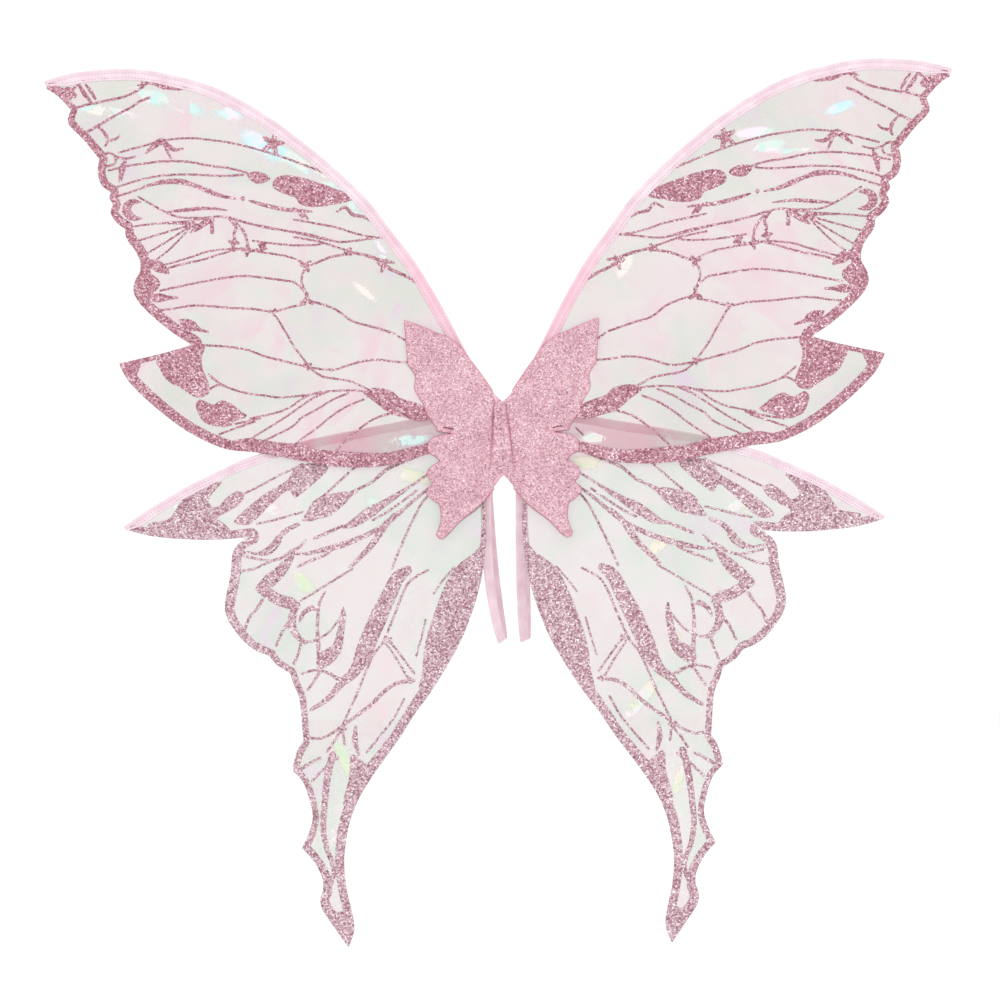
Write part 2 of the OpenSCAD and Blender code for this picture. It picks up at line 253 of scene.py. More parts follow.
def leftward(line):
    """The direction square to a line, to its left, at each of its points."""
    ends = np.vstack([line[:1], line, line[-1:]])
    along = unit(ends[2:] - ends[:-2])
    return np.stack([-along[:, 1], along[:, 0]], 1)


def on_wing(points, reach):
    """Drawn points stretched sideways, so that the wires' end lies at WIRE_X and the tip at
    reach."""
    p = np.array(points, float)
    x = WIRE_X + (p[:, 0] - DRAWN_WIRE_X) * (reach - WIRE_X) / (reach - DRAWN_WIRE_X)
    return np.stack([x, p[:, 1]], 1)


def edge_of(lobes, steps):
    """All the lobes of a cut edge joined at their notches, each a smooth curve."""
    return np.vstack([smooth(lobe, steps)[:-1] for lobe in lobes]
        + [np.array(lobes[-1][-1:], float)])


def nearest_on(points, line):
    """For each point, the distance to a broken line, and how far along the line it is met, as a
    count of segments."""
    start, way = line[:-1], np.diff(line, axis=0)
    length2 = np.maximum((way ** 2).sum(1), 1e-9)
    distance, place = [], []
    for some in np.array_split(points, max(1, len(points) * len(start) // 2_000_000)):
        away = some[:, None, :] - start[None]
        t = np.clip((away * way).sum(2) / length2, 0, 1)
        gap = np.hypot(*np.moveaxis(away - t[..., None] * way, 2, 0))
        best = gap.argmin(1)
        rows = np.arange(len(some))
        distance.append(gap[rows, best])
        place.append(best + t[rows, best])
    return np.concatenate(distance), np.concatenate(place)


def inside_outline(points, outline):
    """How far each point lies inside a closed outline, negative outside: the distance to its
    nearest edge, with a sign from how many edges lie to the right of the point."""
    closed = np.vstack([outline, outline[:1]])
    distance = nearest_on(points, closed)[0]
    a, b = closed[:-1], closed[1:]
    crossings = np.zeros(len(points), int)
    rise = np.where(np.abs(b[:, 1] - a[:, 1]) < 1e-9, 1e-9, b[:, 1] - a[:, 1])
    for rows in np.array_split(np.arange(len(points)),
            max(1, len(points) * len(a) // 2_000_000)):
        px, pz = points[rows, 0][:, None], points[rows, 1][:, None]
        spans = (a[:, 1] > pz) != (b[:, 1] > pz)
        crossings[rows] = (spans & (px < a[:, 0] + (pz - a[:, 1]) * (b[:, 0] - a[:, 0])
            / rise)).sum(1)
    return np.where(crossings % 2 == 1, distance, -distance)


class Board:
    """A cutting board: a square grid of points, and at each how far it lies inside the shape,
    negative outside."""

    def __init__(self, low, high, step):
        self.low, self.step = np.array(low, float), step
        self.count = tuple(np.ceil((np.array(high) - low) / step).astype(int) + 1)
        x = low[0] + step * np.arange(self.count[0])
        z = low[1] + step * np.arange(self.count[1])
        self.points = np.stack(np.meshgrid(x, z, indexing="ij"), -1)
        self.depth = np.full(self.count, -99.0)

    def draw(self, shape, margin, depth_of):
        """Takes the greater of the depth so far and a new shape's, wherever it can reach."""
        low = np.clip((shape.min(0) - margin - self.low) / self.step, 0, None).astype(int)
        high = ((shape.max(0) + margin - self.low) / self.step).astype(int) + 2
        here = slice(low[0], max(high[0], 0)), slice(low[1], max(high[1], 0))
        patch = self.points[here]
        if patch.size:
            depth = depth_of(patch.reshape(-1, 2)).reshape(patch.shape[:2])
            self.depth[here] = np.maximum(self.depth[here], depth)

    def add_line(self, widths, points, steps=4):
        """Draws a smooth line. Its widths are spread evenly along it."""
        line = smooth(points, steps)
        half = np.interp(np.linspace(0, 1, len(line)), np.linspace(0, 1, len(widths)),
            widths) / 2

        def depth_of(patch):
            distance, place = nearest_on(patch, line)
            return np.interp(place, np.arange(len(line)), half) - distance

        self.draw(line, half.max() + 2 * self.step, depth_of)

    def add_shape(self, points, steps=4):
        """Fills a smooth closed outline."""
        p = list(points)
        outline = smooth(p[-1:] + p + p[:2], steps)[steps:-steps]
        self.draw(outline, 2 * self.step, lambda patch: inside_outline(patch, outline))

    def add_star(self, centre, radius, arms, waist, turn=0.0):
        """Fills a rosette. Its radius swings from a waist to its full size once an arm."""
        a = np.linspace(0, 2 * np.pi, 8 * arms, endpoint=False)
        r = radius * (waist + (1 - waist) * (0.5 + 0.5 * np.cos(arms * (a - turn))) ** 1.5)
        self.add_shape(np.stack([centre[0] + r * np.cos(a), centre[1] + r * np.sin(a)], 1), 1)

    def inside(self, outline):
        """How far each point of the grid lies inside an outline."""
        return inside_outline(self.points.reshape(-1, 2), outline).reshape(self.count)

    # The pieces of one square by which of its corners are inside: corners are 0 to 3, and
    # 4 to 7 are the places where the cut crosses its four sides.
    PIECES = {1: [(0, 4, 7)], 2: [(1, 5, 4)], 3: [(0, 1, 5, 7)], 4: [(2, 6, 5)],
        5: [(0, 4, 7), (2, 6, 5)], 6: [(1, 2, 6, 4)], 7: [(0, 1, 2, 6, 7)], 8: [(3, 7, 6)],
        9: [(0, 4, 6, 3)], 10: [(1, 5, 4), (3, 7, 6)], 11: [(0, 1, 5, 6, 3)],
        12: [(2, 3, 7, 5)], 13: [(0, 4, 5, 2, 3)], 14: [(1, 2, 3, 7, 4)], 15: [(0, 1, 2, 3)]}

    def cut(self):
        """The shape's points and faces. Each square of the grid is whole, or is cut where the
        depth between two corners reaches nought."""
        f = self.depth
        inside = f > 0
        numbers = np.full(f.shape, -1)
        numbers[inside] = np.arange(inside.sum())
        found = [self.points[inside]]
        total = int(inside.sum())

        def crossings(a, b, pa, pb):
            nonlocal total
            cross = (a > 0) != (b > 0)
            t = np.clip(a / np.where(cross, a - b, 1), 0.06, 0.94)[cross][:, None]
            ids = np.full(a.shape, -1)
            ids[cross] = total + np.arange(cross.sum())
            total += int(cross.sum())
            found.append(pa[cross] * (1 - t) + pb[cross] * t)
            return ids

        across = crossings(f[:-1], f[1:], self.points[:-1], self.points[1:])
        upward = crossings(f[:, :-1], f[:, 1:], self.points[:, :-1], self.points[:, 1:])
        ids = np.stack([numbers[:-1, :-1], numbers[1:, :-1], numbers[1:, 1:],
            numbers[:-1, 1:], across[:, :-1], upward[1:], across[:, 1:], upward[:-1]], -1)
        case = (inside[:-1, :-1] + 2 * inside[1:, :-1] + 4 * inside[1:, 1:]
            + 8 * inside[:-1, 1:])
        faces = [ids[case == number][:, list(piece)]
            for number, pieces in self.PIECES.items() for piece in pieces]
        return np.vstack(found), [face for face in faces if len(face)]


def rim_of(faces):
    """The edges that have a face on only one side, each in its face's own direction."""
    edges = np.vstack([np.stack([face, np.roll(face, -1, 1)], -1).reshape(-1, 2)
        for face in faces])
    most = int(edges.max()) + 1
    one_way, other_way = edges[:, 0] * most + edges[:, 1], edges[:, 1] * most + edges[:, 0]
    return edges[~np.isin(one_way, other_way)]


def new_piece(name, points, faces, material, side=1, values=(), uv=None):
    """A mesh piece from points in millimetres and arrays of faces, mirrored if side is -1.
    Values are numbers at the points, kept as attributes, and uv is a place in two directions
    at each point."""
    place = points * np.array([side, 1, 1]) / 1000
    loops = [face[:, ::side] for face in faces]
    sizes = np.concatenate([np.full(len(face), face.shape[1]) for face in loops])
    corners = np.concatenate([face.ravel() for face in loops])
    mesh = bpy.data.meshes.new(name)
    mesh.vertices.add(len(place))
    mesh.vertices.foreach_set("co", place.astype(np.float32).ravel())
    mesh.loops.add(len(corners))
    mesh.loops.foreach_set("vertex_index", corners.astype(np.int32))
    mesh.polygons.add(len(sizes))
    mesh.polygons.foreach_set("loop_start",
        np.concatenate([[0], np.cumsum(sizes)[:-1]]).astype(np.int32))
    mesh.update(calc_edges=True)
    mesh.validate()
    mesh.polygons.foreach_set("use_smooth", np.ones(len(mesh.polygons), bool))
    for key, numbers in dict(values).items():
        layer = mesh.attributes.new(key, "FLOAT", "POINT")
        layer.data.foreach_set("value", np.asarray(numbers, np.float32))
    if uv is not None:
        layer = mesh.uv_layers.new(name="cloth")
        layer.data.foreach_set("uv", uv[corners].astype(np.float32).ravel())
    mesh.materials.append(material)
    piece = bpy.data.objects.new(name, mesh)
    bpy.context.scene.collection.objects.link(piece)
    return piece


def thin_sheet(name, xz, faces, y_front, y_back, material, side=1, values=()):
    """A flat cut shape given its two faces: the same points at two depths, joined by a rim."""
    rim, n = rim_of(faces), len(xz)
    points = np.vstack([np.insert(xz, 1, y_front, 1), np.insert(xz, 1, y_back, 1)])
    rim_faces = np.stack([rim[:, 0], rim[:, 0] + n, rim[:, 1] + n, rim[:, 1]], 1)
    every = faces + [face[:, ::-1] + n for face in faces] + [rim_faces]
    doubled = {key: np.tile(v, 2) for key, v in dict(values).items()}
    return new_piece(name, points, every, material, side, doubled)


def smoothstep(low, high, x):
    """Nought below low and one above high, with a smooth rise between."""
    t = np.clip((x - low) / (high - low), 0, 1)
    return t * t * (3 - 2 * t)


class Creases:
    """How far a film stands off its flat plane. Each crease is a rounded ridge along a random
    line, which fades with the distance from the line and towards its two ends. A few long
    waves lie under them. All of it dies away towards the taped edge and the root."""

    def __init__(self, seed, box, number, wire, height):
        rng = np.random.default_rng(seed)
        low, high = np.array(box, float)
        self.centre = rng.uniform(low, high, (number, 2))
        angle = rng.uniform(0, np.pi, number)
        self.along = np.stack([np.cos(angle), np.sin(angle)], 1)
        self.reach = rng.uniform(18, 70, number)
        self.spread = rng.uniform(4, 13, number)
        self.height = height * rng.uniform(0.25, 1.0, number)
        self.wave = rng.uniform(0.012, 0.035, (4, 2)) * rng.choice([-1, 1], (4, 2))
        self.phase = rng.uniform(0, 2 * np.pi, 4)
        self.wire = wire

    def __call__(self, xz):
        lift = 0.7 + 0.35 * np.sin(xz @ self.wave.T + self.phase).sum(1)
        for some in np.array_split(np.arange(len(xz)), max(1, len(xz) // 20000)):
            away = xz[some][:, None, :] - self.centre
            along = (away * self.along).sum(2)
            across = away[..., 0] * self.along[:, 1] - away[..., 1] * self.along[:, 0]
            ridge = np.exp(-(np.hypot(across, 2.5) - 2.5) / self.spread)
            lift[some] += (self.height * ridge * np.exp(-(along / self.reach) ** 2)).sum(1)
        held = smoothstep(6, 45, nearest_on(xz, self.wire)[0])
        return lift * held * (0.15 + 0.85 * smoothstep(25, 110, xz[:, 0]))


def iridescent_film(name, tints, painted_glints, alpha_low, alpha_high):
    """Clear film with a thin metal-oxide coat. Its tint drifts from pink through white to green
    and lilac over broad patches and from one crumpled facet to the next, and along each crease
    with its slope, which is painted reflection colour. Painted glints stand for the facets that
    face the light: painted highlights, crisp, bright and less clear."""
    film = Material(name)
    coord = film.place()
    patches = film.noise(coord, 9.0, 2.0, Distortion=0.6)
    fine = film.noise(coord, 75.0, 5.0, Roughness=0.65, Distortion=1.2)
    wander = film.node("TexNoise", {"Vector": coord, "Scale": 22.0, "Detail": 2.0})["Color"]
    bent = film.node("VectorMath", {0: wander, 1: (0.05, 0.05, 0.05), 2: coord},
        operation="MULTIPLY_ADD")[0]
    facets, chance = film.cells(bent, 40.0)
    # Painted reflection colour: the tint changes with each crease's slope.
    drift = film.math("MULTIPLY_ADD", film.number("painted_sheen_slope"), 0.9, film.math("MULTIPLY_ADD",
        patches, 0.83, film.math("MULTIPLY", chance["Red"], 0.17)))
    bright = film.math("MULTIPLY_ADD", fine, 0.5, film.math("MULTIPLY", chance["Blue"], 0.5))
    facing = film.math("MULTIPLY_ADD", chance["Green"], 0.55, fine)
    # Painted highlight: where a listed glint is strong and a facet passes at random, the colour
    # turns bright and the film less clear.
    painted_shine = film.math("MULTIPLY", film.mapped(film.number("painted_glint"), 0.0, 1.0, 0.15, 0.55),
        film.mapped(facing, 0.0, 1.0, 0.62, 0.70))
    cloud = film.mapped(patches, alpha_low, alpha_high, 0.3, 0.7)
    dent = film.math("MULTIPLY_ADD", facets["Distance"], 0.6, fine)
    return film.finish({
        "Base Color": film.mix(painted_shine, film.ramp(drift, tints), film.ramp(bright, painted_glints)),
        "Alpha": film.math("MULTIPLY_ADD", painted_shine, 0.4, cloud, clamp=True),
        "Roughness": film.mapped(fine, 0.12, 0.30),
        "Normal": film.bump(dent, 0.4, 0.0016),
        "Thin Film Thickness": 430,
        "Thin Film IOR": 1.8})


# The second list is the colours of the painted glints, painted highlights.
upper_film = iridescent_film("iridescent_film_upper",
    [(0.20, srgb(214, 170, 177)), (0.36, srgb(208, 188, 187)), (0.50, srgb(206, 206, 196)),
        (0.62, srgb(190, 210, 188)), (0.74, srgb(203, 194, 206)), (0.85, srgb(216, 178, 188))],
    [(0.34, srgb(250, 248, 255)), (0.46, srgb(196, 252, 250)), (0.58, srgb(212, 250, 238)),
        (0.70, srgb(244, 250, 236))],
    0.32, 0.44)


# Where the two wings overlap beside the emblem: x and z of the middle, half width and half
# height, and how much pinker the film is painted there. The pink is painted light, for the pink
# tape behind the film, which the film's own shadow darkens.
OVERLAP_PAINTED_LIGHT = (125, -3, 65, 20, 0.24)


def film_sheet(name, side, box, outline, y, puff, out, painted_glints, material):
    """Cuts a wing's film, lifts it by its creases, and keeps at each point how steep the crease
    is, which drives painted reflection colour, and how bright the listed painted glints are.
    The slope is lowered, which tints the film pinker as painted light, where the two wings
    overlap."""
    board = Board(*box, FILM_GRID)
    board.depth = board.inside(outline)
    xz, faces = board.cut()
    lift = y + out * puff(xz)
    painted_sheen_slope = (puff(xz + (0.7, 0.7)) - puff(xz - (0.7, 0.7))) / 2
    # Painted light: the film is tinted pinker where the two wings overlap.
    x, z, half_x, half_z, painted_pink = OVERLAP_PAINTED_LIGHT
    painted_sheen_slope -= painted_pink * np.exp(-((xz[:, 0] - x) / half_x) ** 4 - ((xz[:, 1] - z) / half_z) ** 4)
    x, z, half_length, half_width, turn = np.array(painted_glints, float).T
    dx, dz, turn = xz[:, :1] - x, xz[:, 1:] - z, np.radians(turn)
    u = (dx * np.cos(turn) + dz * np.sin(turn)) / half_length
    v = (dz * np.cos(turn) - dx * np.sin(turn)) / half_width
    painted_glint = np.clip(np.exp(-(u ** 2 + v ** 2)).sum(1), 0, 1)
    return thin_sheet(name, xz, faces, lift - FILM_HALF, lift + FILM_HALF, material, side,
        {"painted_sheen_slope": painted_sheen_slope, "painted_glint": painted_glint})


upper_path = on_wing(smooth(UPPER_WIRE, WIRE_STEPS), UPPER_REACH)
upper_edge = upper_path + FILM_INSET * leftward(upper_path)
upper_free_edge = on_wing(edge_of(UPPER_LOBES, EDGE_STEPS), UPPER_REACH)
upper_outline = np.vstack([upper_edge[:0:-1], upper_free_edge,
    [(WIRE_X + 1.8, upper_edge[-1, 1] - 1.5)]])
# Bright places, painted highlights on the film: x, z, half length, half width and turn in
# degrees
UPPER_PAINTED_GLINTS = {
    -1: [(380, 326, 30, 5, 10), (340, 342, 14, 6, 40), (308, 333, 24, 7, 26),
        (262, 325, 14, 8, 20), (232, 291, 22, 8, 38), (196, 275, 34, 6, 34),
        (158, 252, 16, 6, 38), (140, 232, 14, 6, 55), (112, 182, 20, 3, 62),
        (132, 148, 16, 3, 40), (90, 4, 18, 5, -5), (60, 60, 14, 20, 0)],
    1: [(247, 297, 20, 5, 5), (260, 284, 18, 5, 10), (295, 278, 28, 3, 0),
        (330, 320, 16, 5, 20), (190, 255, 14, 5, 40), (120, 170, 14, 6, 60),
        (90, 4, 16, 5, 5)]}
upper_puff = {side: Creases(11 + side, [(40, -20), (430, 360)], 95, upper_path, 1.5)
    for side in (-1, 1)}
SIDES = {-1: "left", 1: "right"}
for side, word in SIDES.items():
    film = film_sheet(f"upper_film_sheet_{word}", side, UPPER_BOARD, upper_outline, UPPER_Y,
        upper_puff[side], -1, UPPER_PAINTED_GLINTS[side], upper_film)
    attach(film, f"wing_{word}")
    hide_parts(f"upper_film_{word}")


# ---- Upper wings: printed glitter ----
# Rose glitter is screen printed on both faces of the film, in register: a border on the free
# edges, leaf veins, and leaves and small stars between them. One shell stands for both prints.
# Each line: widths spread evenly along it, then its points.
UPPER_LINES = [
    ((1.4,), [(368, 286), (345, 292), (325, 297), (300, 299), (280, 297), (260, 294),
        (240, 289), (220, 283), (200, 276), (185, 270), (170, 264)]),
    ((1.5,), [(378, 269), (360, 273), (345, 275), (325, 277), (300, 276), (280, 272),
        (260, 269), (245, 265)]),
    ((1.4,), [(375, 251), (360, 256), (345, 260), (328, 263), (305, 264), (285, 263),
        (265, 262), (248, 263)]),
    ((1.4,), [(372, 243), (350, 250), (330, 256)]),
    ((1, 4, 5, 3, 4.5, 3, 1), [(345, 253), (325, 257), (308, 257), (295, 253), (283, 248),
        (270, 243), (256, 240)]),
    ((1, 3, 3.5, 3, 2, 1), [(243, 238), (230, 234), (210, 229), (190, 227), (182, 226)]),
    ((1, 4, 1), [(200, 230), (192, 225), (186, 219)]),
    ((1.4,), [(350, 243), (338, 236), (326, 229), (312, 223), (300, 222), (285, 222),
        (270, 223), (255, 219), (240, 215), (216, 210), (190, 204), (165, 198)]),
    ((0.8, 3, 3, 2, 0.8), [(322, 228), (300, 230), (283, 231), (264, 229)]),
    ((1.4,), [(330, 217), (300, 219), (284, 222)]),
    ((1.3,), [(262, 222), (250, 218), (240, 215), (225, 211), (205, 208), (190, 204),
        (170, 199)]),
    ((1, 5, 5, 1.4), [(300, 208), (292, 213), (284, 218), (277, 220)]),
    ((1.2, 3, 3.4), [(279, 221), (279, 214), (279, 208)]),
    ((1.3,), [(357, 214), (330, 217), (297, 216)]),
    ((1.3,), [(352, 200), (325, 208), (297, 216)]),
    ((1.2,), [(342, 188), (322, 200), (297, 216)]),
    ((1.2,), [(336, 180), (318, 194), (297, 216)]),
    ((1, 6, 8, 6, 3, 1), [(349, 351), (336, 355), (323, 351), (309, 349), (296, 349),
        (284, 346)]),
    ((1.8, 2.2, 1.4), [(422, 339), (412, 348), (403, 356), (391, 361), (380, 364)]),
    ((1.8,), [(412, 329), (398, 333), (387, 335), (372, 338), (363, 340), (353, 344),
        (345, 349), (340, 353)]),
    ((2, 4, 2), [(405, 351), (401, 344), (395, 336)]),
    ((1.6, 3, 1.6), [(399, 352), (394, 345), (390, 338)]),
    ((2.2, 1.6, 2), [(403, 304), (392, 310), (380, 317), (369, 323), (357, 329),
        (348, 335), (338, 339)]),
    ((1.5, 3, 1.5), [(389, 312), (382, 306), (379, 298), (381, 293)]),
    ((2.5, 1.2), [(379, 298), (371, 299), (367, 303)]),
    ((1, 4, 6, 5, 3, 1), [(342, 285), (335, 291), (327, 296), (321, 292), (314, 288),
        (306, 289)]),
    ((2.6, 1.2), [(323, 292), (321, 286), (318, 280)]),
    ((1.8,), [(384, 282), (379, 286), (371, 282), (373, 275), (380, 273)]),
    ((2, 1.4), [(371, 282), (362, 280), (352, 282)]),
    ((2, 6, 2), [(362, 278), (365, 270), (367, 258)]),
    ((1.5, 3, 1.5), [(158, 226), (150, 230), (143, 223), (134, 221), (126, 217)]),
    ((2, 9, 10, 7, 2), [(341, 181), (336, 178), (331, 175), (326, 172), (322, 169)]),
    ((1.5,), [(330, 171), (310, 177), (290, 181), (270, 187), (250, 192)]),
    ((1.3,), [(325, 177), (300, 184), (285, 189), (270, 191), (255, 192)]),
    ((1.5, 2.6, 1.4), [(257, 198), (258, 206), (256, 212), (262, 220)]),
    ((1.5, 2.4, 1.4), [(245, 192), (246, 202), (250, 210), (256, 217)]),
    ((1.4,), [(240, 199), (220, 196), (200, 194), (180, 194), (170, 196)]),
    ((1.4,), [(240, 189), (226, 187), (210, 184), (200, 181), (190, 176)]),
    ((1.4,), [(200, 219), (180, 215), (160, 211), (145, 206), (130, 202), (112, 200)]),
    ((1.4,), [(200, 207), (180, 203), (160, 197), (145, 197), (130, 199), (112, 201)]),
    ((1.4,), [(200, 202), (175, 197), (160, 192), (145, 187)]),
    ((1.8, 2.6, 2), [(147, 187), (130, 183), (115, 178), (104, 176)]),
    ((2, 2.6, 1.6), [(113, 172), (104, 168), (95, 164), (83, 157), (70, 150)]),
    ((2, 1.5), [(147, 185), (165, 182), (180, 176), (188, 174)]),
    ((1.6,), [(188, 174), (192, 166), (193, 158), (188, 145)]),
    ((1.5,), [(330, 152), (310, 156), (290, 160), (270, 163), (250, 165), (230, 163),
        (210, 160), (200, 158), (193, 152), (188, 146)]),
    ((1, 7, 8, 3, 1.2), [(342, 146), (336, 145), (330, 145), (321, 145), (313, 145)]),
    ((1.5,), [(335, 133), (320, 134), (300, 137), (280, 136), (260, 134), (240, 133),
        (221, 130), (205, 134), (190, 137)]),
    ((1.2, 9, 9, 3, 1.4), [(312, 123), (306, 120), (299, 117), (293, 114), (284, 111)]),
    ((1.6,), [(188, 140), (175, 137), (160, 131), (145, 120), (125, 114), (104, 107)]),
    ((1.4,), [(101, 105), (93, 100), (86, 97)]),
    ((1.5,), [(300, 99), (280, 98), (260, 96), (245, 93), (230, 87), (215, 83), (200, 79),
        (188, 76)]),
    ((1.5,), [(188, 76), (165, 73), (150, 77), (135, 81), (120, 82), (105, 80), (90, 79)]),
    ((1.4,), [(221, 130), (208, 108), (200, 94), (188, 78)]),
    ((1.5,), [(185, 74), (175, 67), (160, 64), (145, 61), (125, 50)]),
    ((1.4,), [(289, 52), (275, 60), (260, 55), (245, 51), (230, 49), (215, 47), (190, 49),
        (170, 52), (150, 53), (135, 52)]),
    ((1.5, 1.2), [(175, 52), (190, 48), (205, 38), (220, 32), (245, 27)]),
    ((1.5, 1.2), [(172, 51), (185, 45), (200, 35), (215, 25), (240, 10), (252, 2)]),
    ((1.5, 1.2), [(150, 50), (165, 44), (180, 35), (195, 27), (205, 18), (230, 6),
        (244, 0)]),
    ((1.5, 1.2), [(135, 44), (150, 38), (165, 29), (180, 17), (200, 3), (208, -6)]),
    ((1.6, 1.3), [(110, 30), (125, 25), (140, 15), (157, 0), (164, -8)]),
    ((1.5,), [(272, 20), (254, 23), (235, 27)]),
    ((1.4,), [(275, 12), (258, 18), (240, 24)]),
    ((1.6,), [(284, 70), (276, 63), (268, 58)]),
    ((9, 11, 14, 14, 12, 10, 10, 12), [(265, 0), (245, 2), (225, -3), (200, -6),
        (180, -10), (150, -12), (110, -13), (60, -2)])]
UPPER_FILLS = [
    [(245, 263), (238, 266), (228, 264), (222, 259), (228, 255), (238, 255)],
    [(220, 252), (215, 247), (206, 243), (198, 240), (194, 234), (185, 231), (174, 231),
        (160, 233), (146, 236), (143, 240), (156, 247), (175, 254), (194, 260), (208, 262),
        (217, 259)],
    [(347, 238), (356, 241), (364, 236), (365, 227), (357, 220), (346, 222), (353, 225),
        (357, 230), (355, 235)],
    [(135, 50), (125, 55), (108, 52), (100, 45), (85, 40), (72, 34), (70, 26), (80, 22),
        (100, 27), (110, 30), (125, 42)],
    [(293, 46), (288, 44), (280, 41), (272, 45), (262, 41), (252, 33), (248, 29),
        (262, 24), (275, 20), (285, 22), (292, 27), (297, 40)],
    [(334, 86), (331, 76), (328, 70), (322, 63), (312, 58), (302, 51), (296, 48),
        (289, 49), (284, 53), (284, 60), (287, 68), (290, 76), (291, 86), (288, 97),
        (300, 104), (316, 97)],
    [(376, 84), (352, 87), (350, 80), (354, 70), (354, 64), (348, 58), (356, 50),
        (368, 62)],
    [(362, 172), (348, 170), (338, 168), (330, 160), (334, 152), (344, 146), (358, 148)],
    [(441, 356), (428, 357), (424, 350), (414, 350), (408, 341), (416, 336), (412, 322),
        (424, 334), (438, 346)]]
# Rosettes: centre x and z, radius, arms, waist and turn
UPPER_STARS = [(249, 240, 2.4, 3, 0.9, 0), (372, 361, 6, 5, 0.5, 0.3),
    (219, 293, 12, 5, 0.4, 0.6), (258, 198, 6.0, 4, 0.5, 0.2), (245, 190, 7.0, 4, 0.45, 0.1),
    (230, 193, 5.5, 4, 0.6, 0.5), (297, 216, 4, 4, 0.5, 0), (113, 173, 8, 4, 0.35, 0.4),
    (188, 174, 7, 3, 0.3, 0.2), (188, 141, 8, 3, 0.3, 1.6), (147, 187, 5, 3, 0.5, 0),
    (188, 77, 5, 3, 0.4, 0.5), (236, 190, 2, 3, 0.8, 0), (221, 130, 4.5, 3, 0.3, 0.3),
    (192, 223, 3.5, 3, 0.4, 2.4)]
PRINT_GAP, PRINT_T, PRINT_GRIT, PRINT_MARGIN = 0.16, 0.14, 0.16, 0.25


def printed_glitter(name, shades, flake):
    """Glitter flakes in clear binder: each cell of a fine pattern is one flake with its own
    shade, tilt and gloss, over darker binder at the cells' borders."""
    ink = Material(name)
    coord = ink.place()
    cells, chance = ink.cells(coord, 1000 / flake)
    pick = ink.math("MULTIPLY_ADD", ink.noise(coord, 60.0, 3.0), 0.45, chance["Red"])
    pick = ink.math("SUBTRACT", pick, 0.22, clamp=True)
    border = ink.mapped(cells["Distance"], 0.0, 0.5, 0.35, 0.75)
    return ink.finish({
        "Base Color": ink.mix(border, ink.ramp(pick, shades), shades[0][1]),
        "Normal": ink.tilted(cells, 0.9),
        "Roughness": ink.mapped(chance["Green"], 0.22, 0.55),
        "Metallic": 0.35})


rose_glitter = printed_glitter("printed_rose_glitter",
    [(0.0, srgb(140, 80, 98)), (0.25, srgb(172, 110, 127)), (0.55, srgb(198, 144, 158)),
        (0.80, srgb(220, 178, 189)), (0.97, srgb(252, 230, 236))], 1.3)


def print_sheet(name, side, box, lines, fills, stars, borders, outline, reach, y, puff, out,
        material):
    """Draws a wing's print on a fine grid, cuts it, and wraps it round the film, a little proud
    of each face. The ink spreads: a line drawn w wide prints 0.45 + 1.05 w wide."""
    board = Board(*box, PRINT_GRID)
    for widths, points in lines:
        board.add_line([0.45 + 1.05 * w for w in widths], on_wing(points, reach))
    for points in fills:
        board.add_shape(on_wing(points, reach))
    for x, z, radius, arms, waist, turn in stars:
        board.add_star((x, z), radius, arms, waist, turn)
    for widths, points in borders:
        board.add_line(widths, points, 1)
    board.depth += np.random.default_rng(5 + side).normal(0, PRINT_GRIT, board.count)
    board.depth = np.minimum(board.depth, board.inside(outline) - PRINT_MARGIN)
    xz, faces = board.cut()
    middle, proud = y + out * puff(xz), FILM_HALF + PRINT_GAP
    return thin_sheet(name, xz, faces, middle - proud - PRINT_T, middle + proud, material,
        side)


def starts_of(lobes):
    """Where each lobe starts, as a count of points along their joined edge."""
    return np.cumsum([0] + [EDGE_STEPS * (len(lobe) - 1) for lobe in lobes])


starts = starts_of(UPPER_LOBES)
upper_borders = [
    ((10, 13, 16, 15, 14, 16, 18, 20), upper_free_edge[:starts[6] + 1]),
    ((18, 19, 20), upper_free_edge[starts[6]:starts[7] + 1]),
    ((10, 9, 10), upper_free_edge[starts[7]:starts[8] + 1]),
    ((20, 20, 20, 20, 18, 12, 8, 6, 6, 6), upper_free_edge[starts[8]:])]
for side, word in SIDES.items():
    glitter = print_sheet(f"upper_print_{word}", side, UPPER_BOARD, UPPER_LINES, UPPER_FILLS,
        UPPER_STARS, upper_borders, upper_outline, UPPER_REACH, UPPER_Y, upper_puff[side], -1,
        rose_glitter)
    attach(glitter, f"wing_{word}")


# ---- Tape on the leading edges ----
# Pink satin tape is folded over the film's edge with the wire in its fold, and closed by two
# rows of stitches. It narrows to a folded point at the wing's tip.
LOWER_WIRE = [(368, -77), (349, -64), (329, -52), (310, -41), (290, -31), (270, -22),
    (250, -13), (200, 2), (150, 12), (100, 21), (62, 28), (40, 30)]
LOWER_REACH, LOWER_BOARD = 371, ((10, -492), (376, 36))
# The tape's section: radii of the fold and of the channel in it, and how far each leg's outer
# and inner face stands from the middle. The rows of stitches lie so far in from each edge.
BULB, CHANNEL, LEG, SLOT = 1.3, 0.9, 0.62, 0.2
ROW_IN, ROW_OUT, STITCH_PITCH = 2.7, 2.4, 3.3


def tube_faces(n, m, turned=False):
    """The faces of a tube of n rings of m points: four-sided walls, and a face at each end.
    They are turned over where the rings run the other way round."""
    i = np.arange(n - 1)[:, None] * m
    j, k = np.arange(m)[None], np.roll(np.arange(m), -1)[None]
    walls = [i + j, i + k, i + m + k, i + m + j]
    first, last = j, j + (n - 1) * m
    if turned:
        walls, last = [walls[c] for c in (0, 3, 2, 1)], last[:, ::-1]
    else:
        first = first[:, ::-1]
    return [np.stack(walls, -1).reshape(-1, 4), first, last]


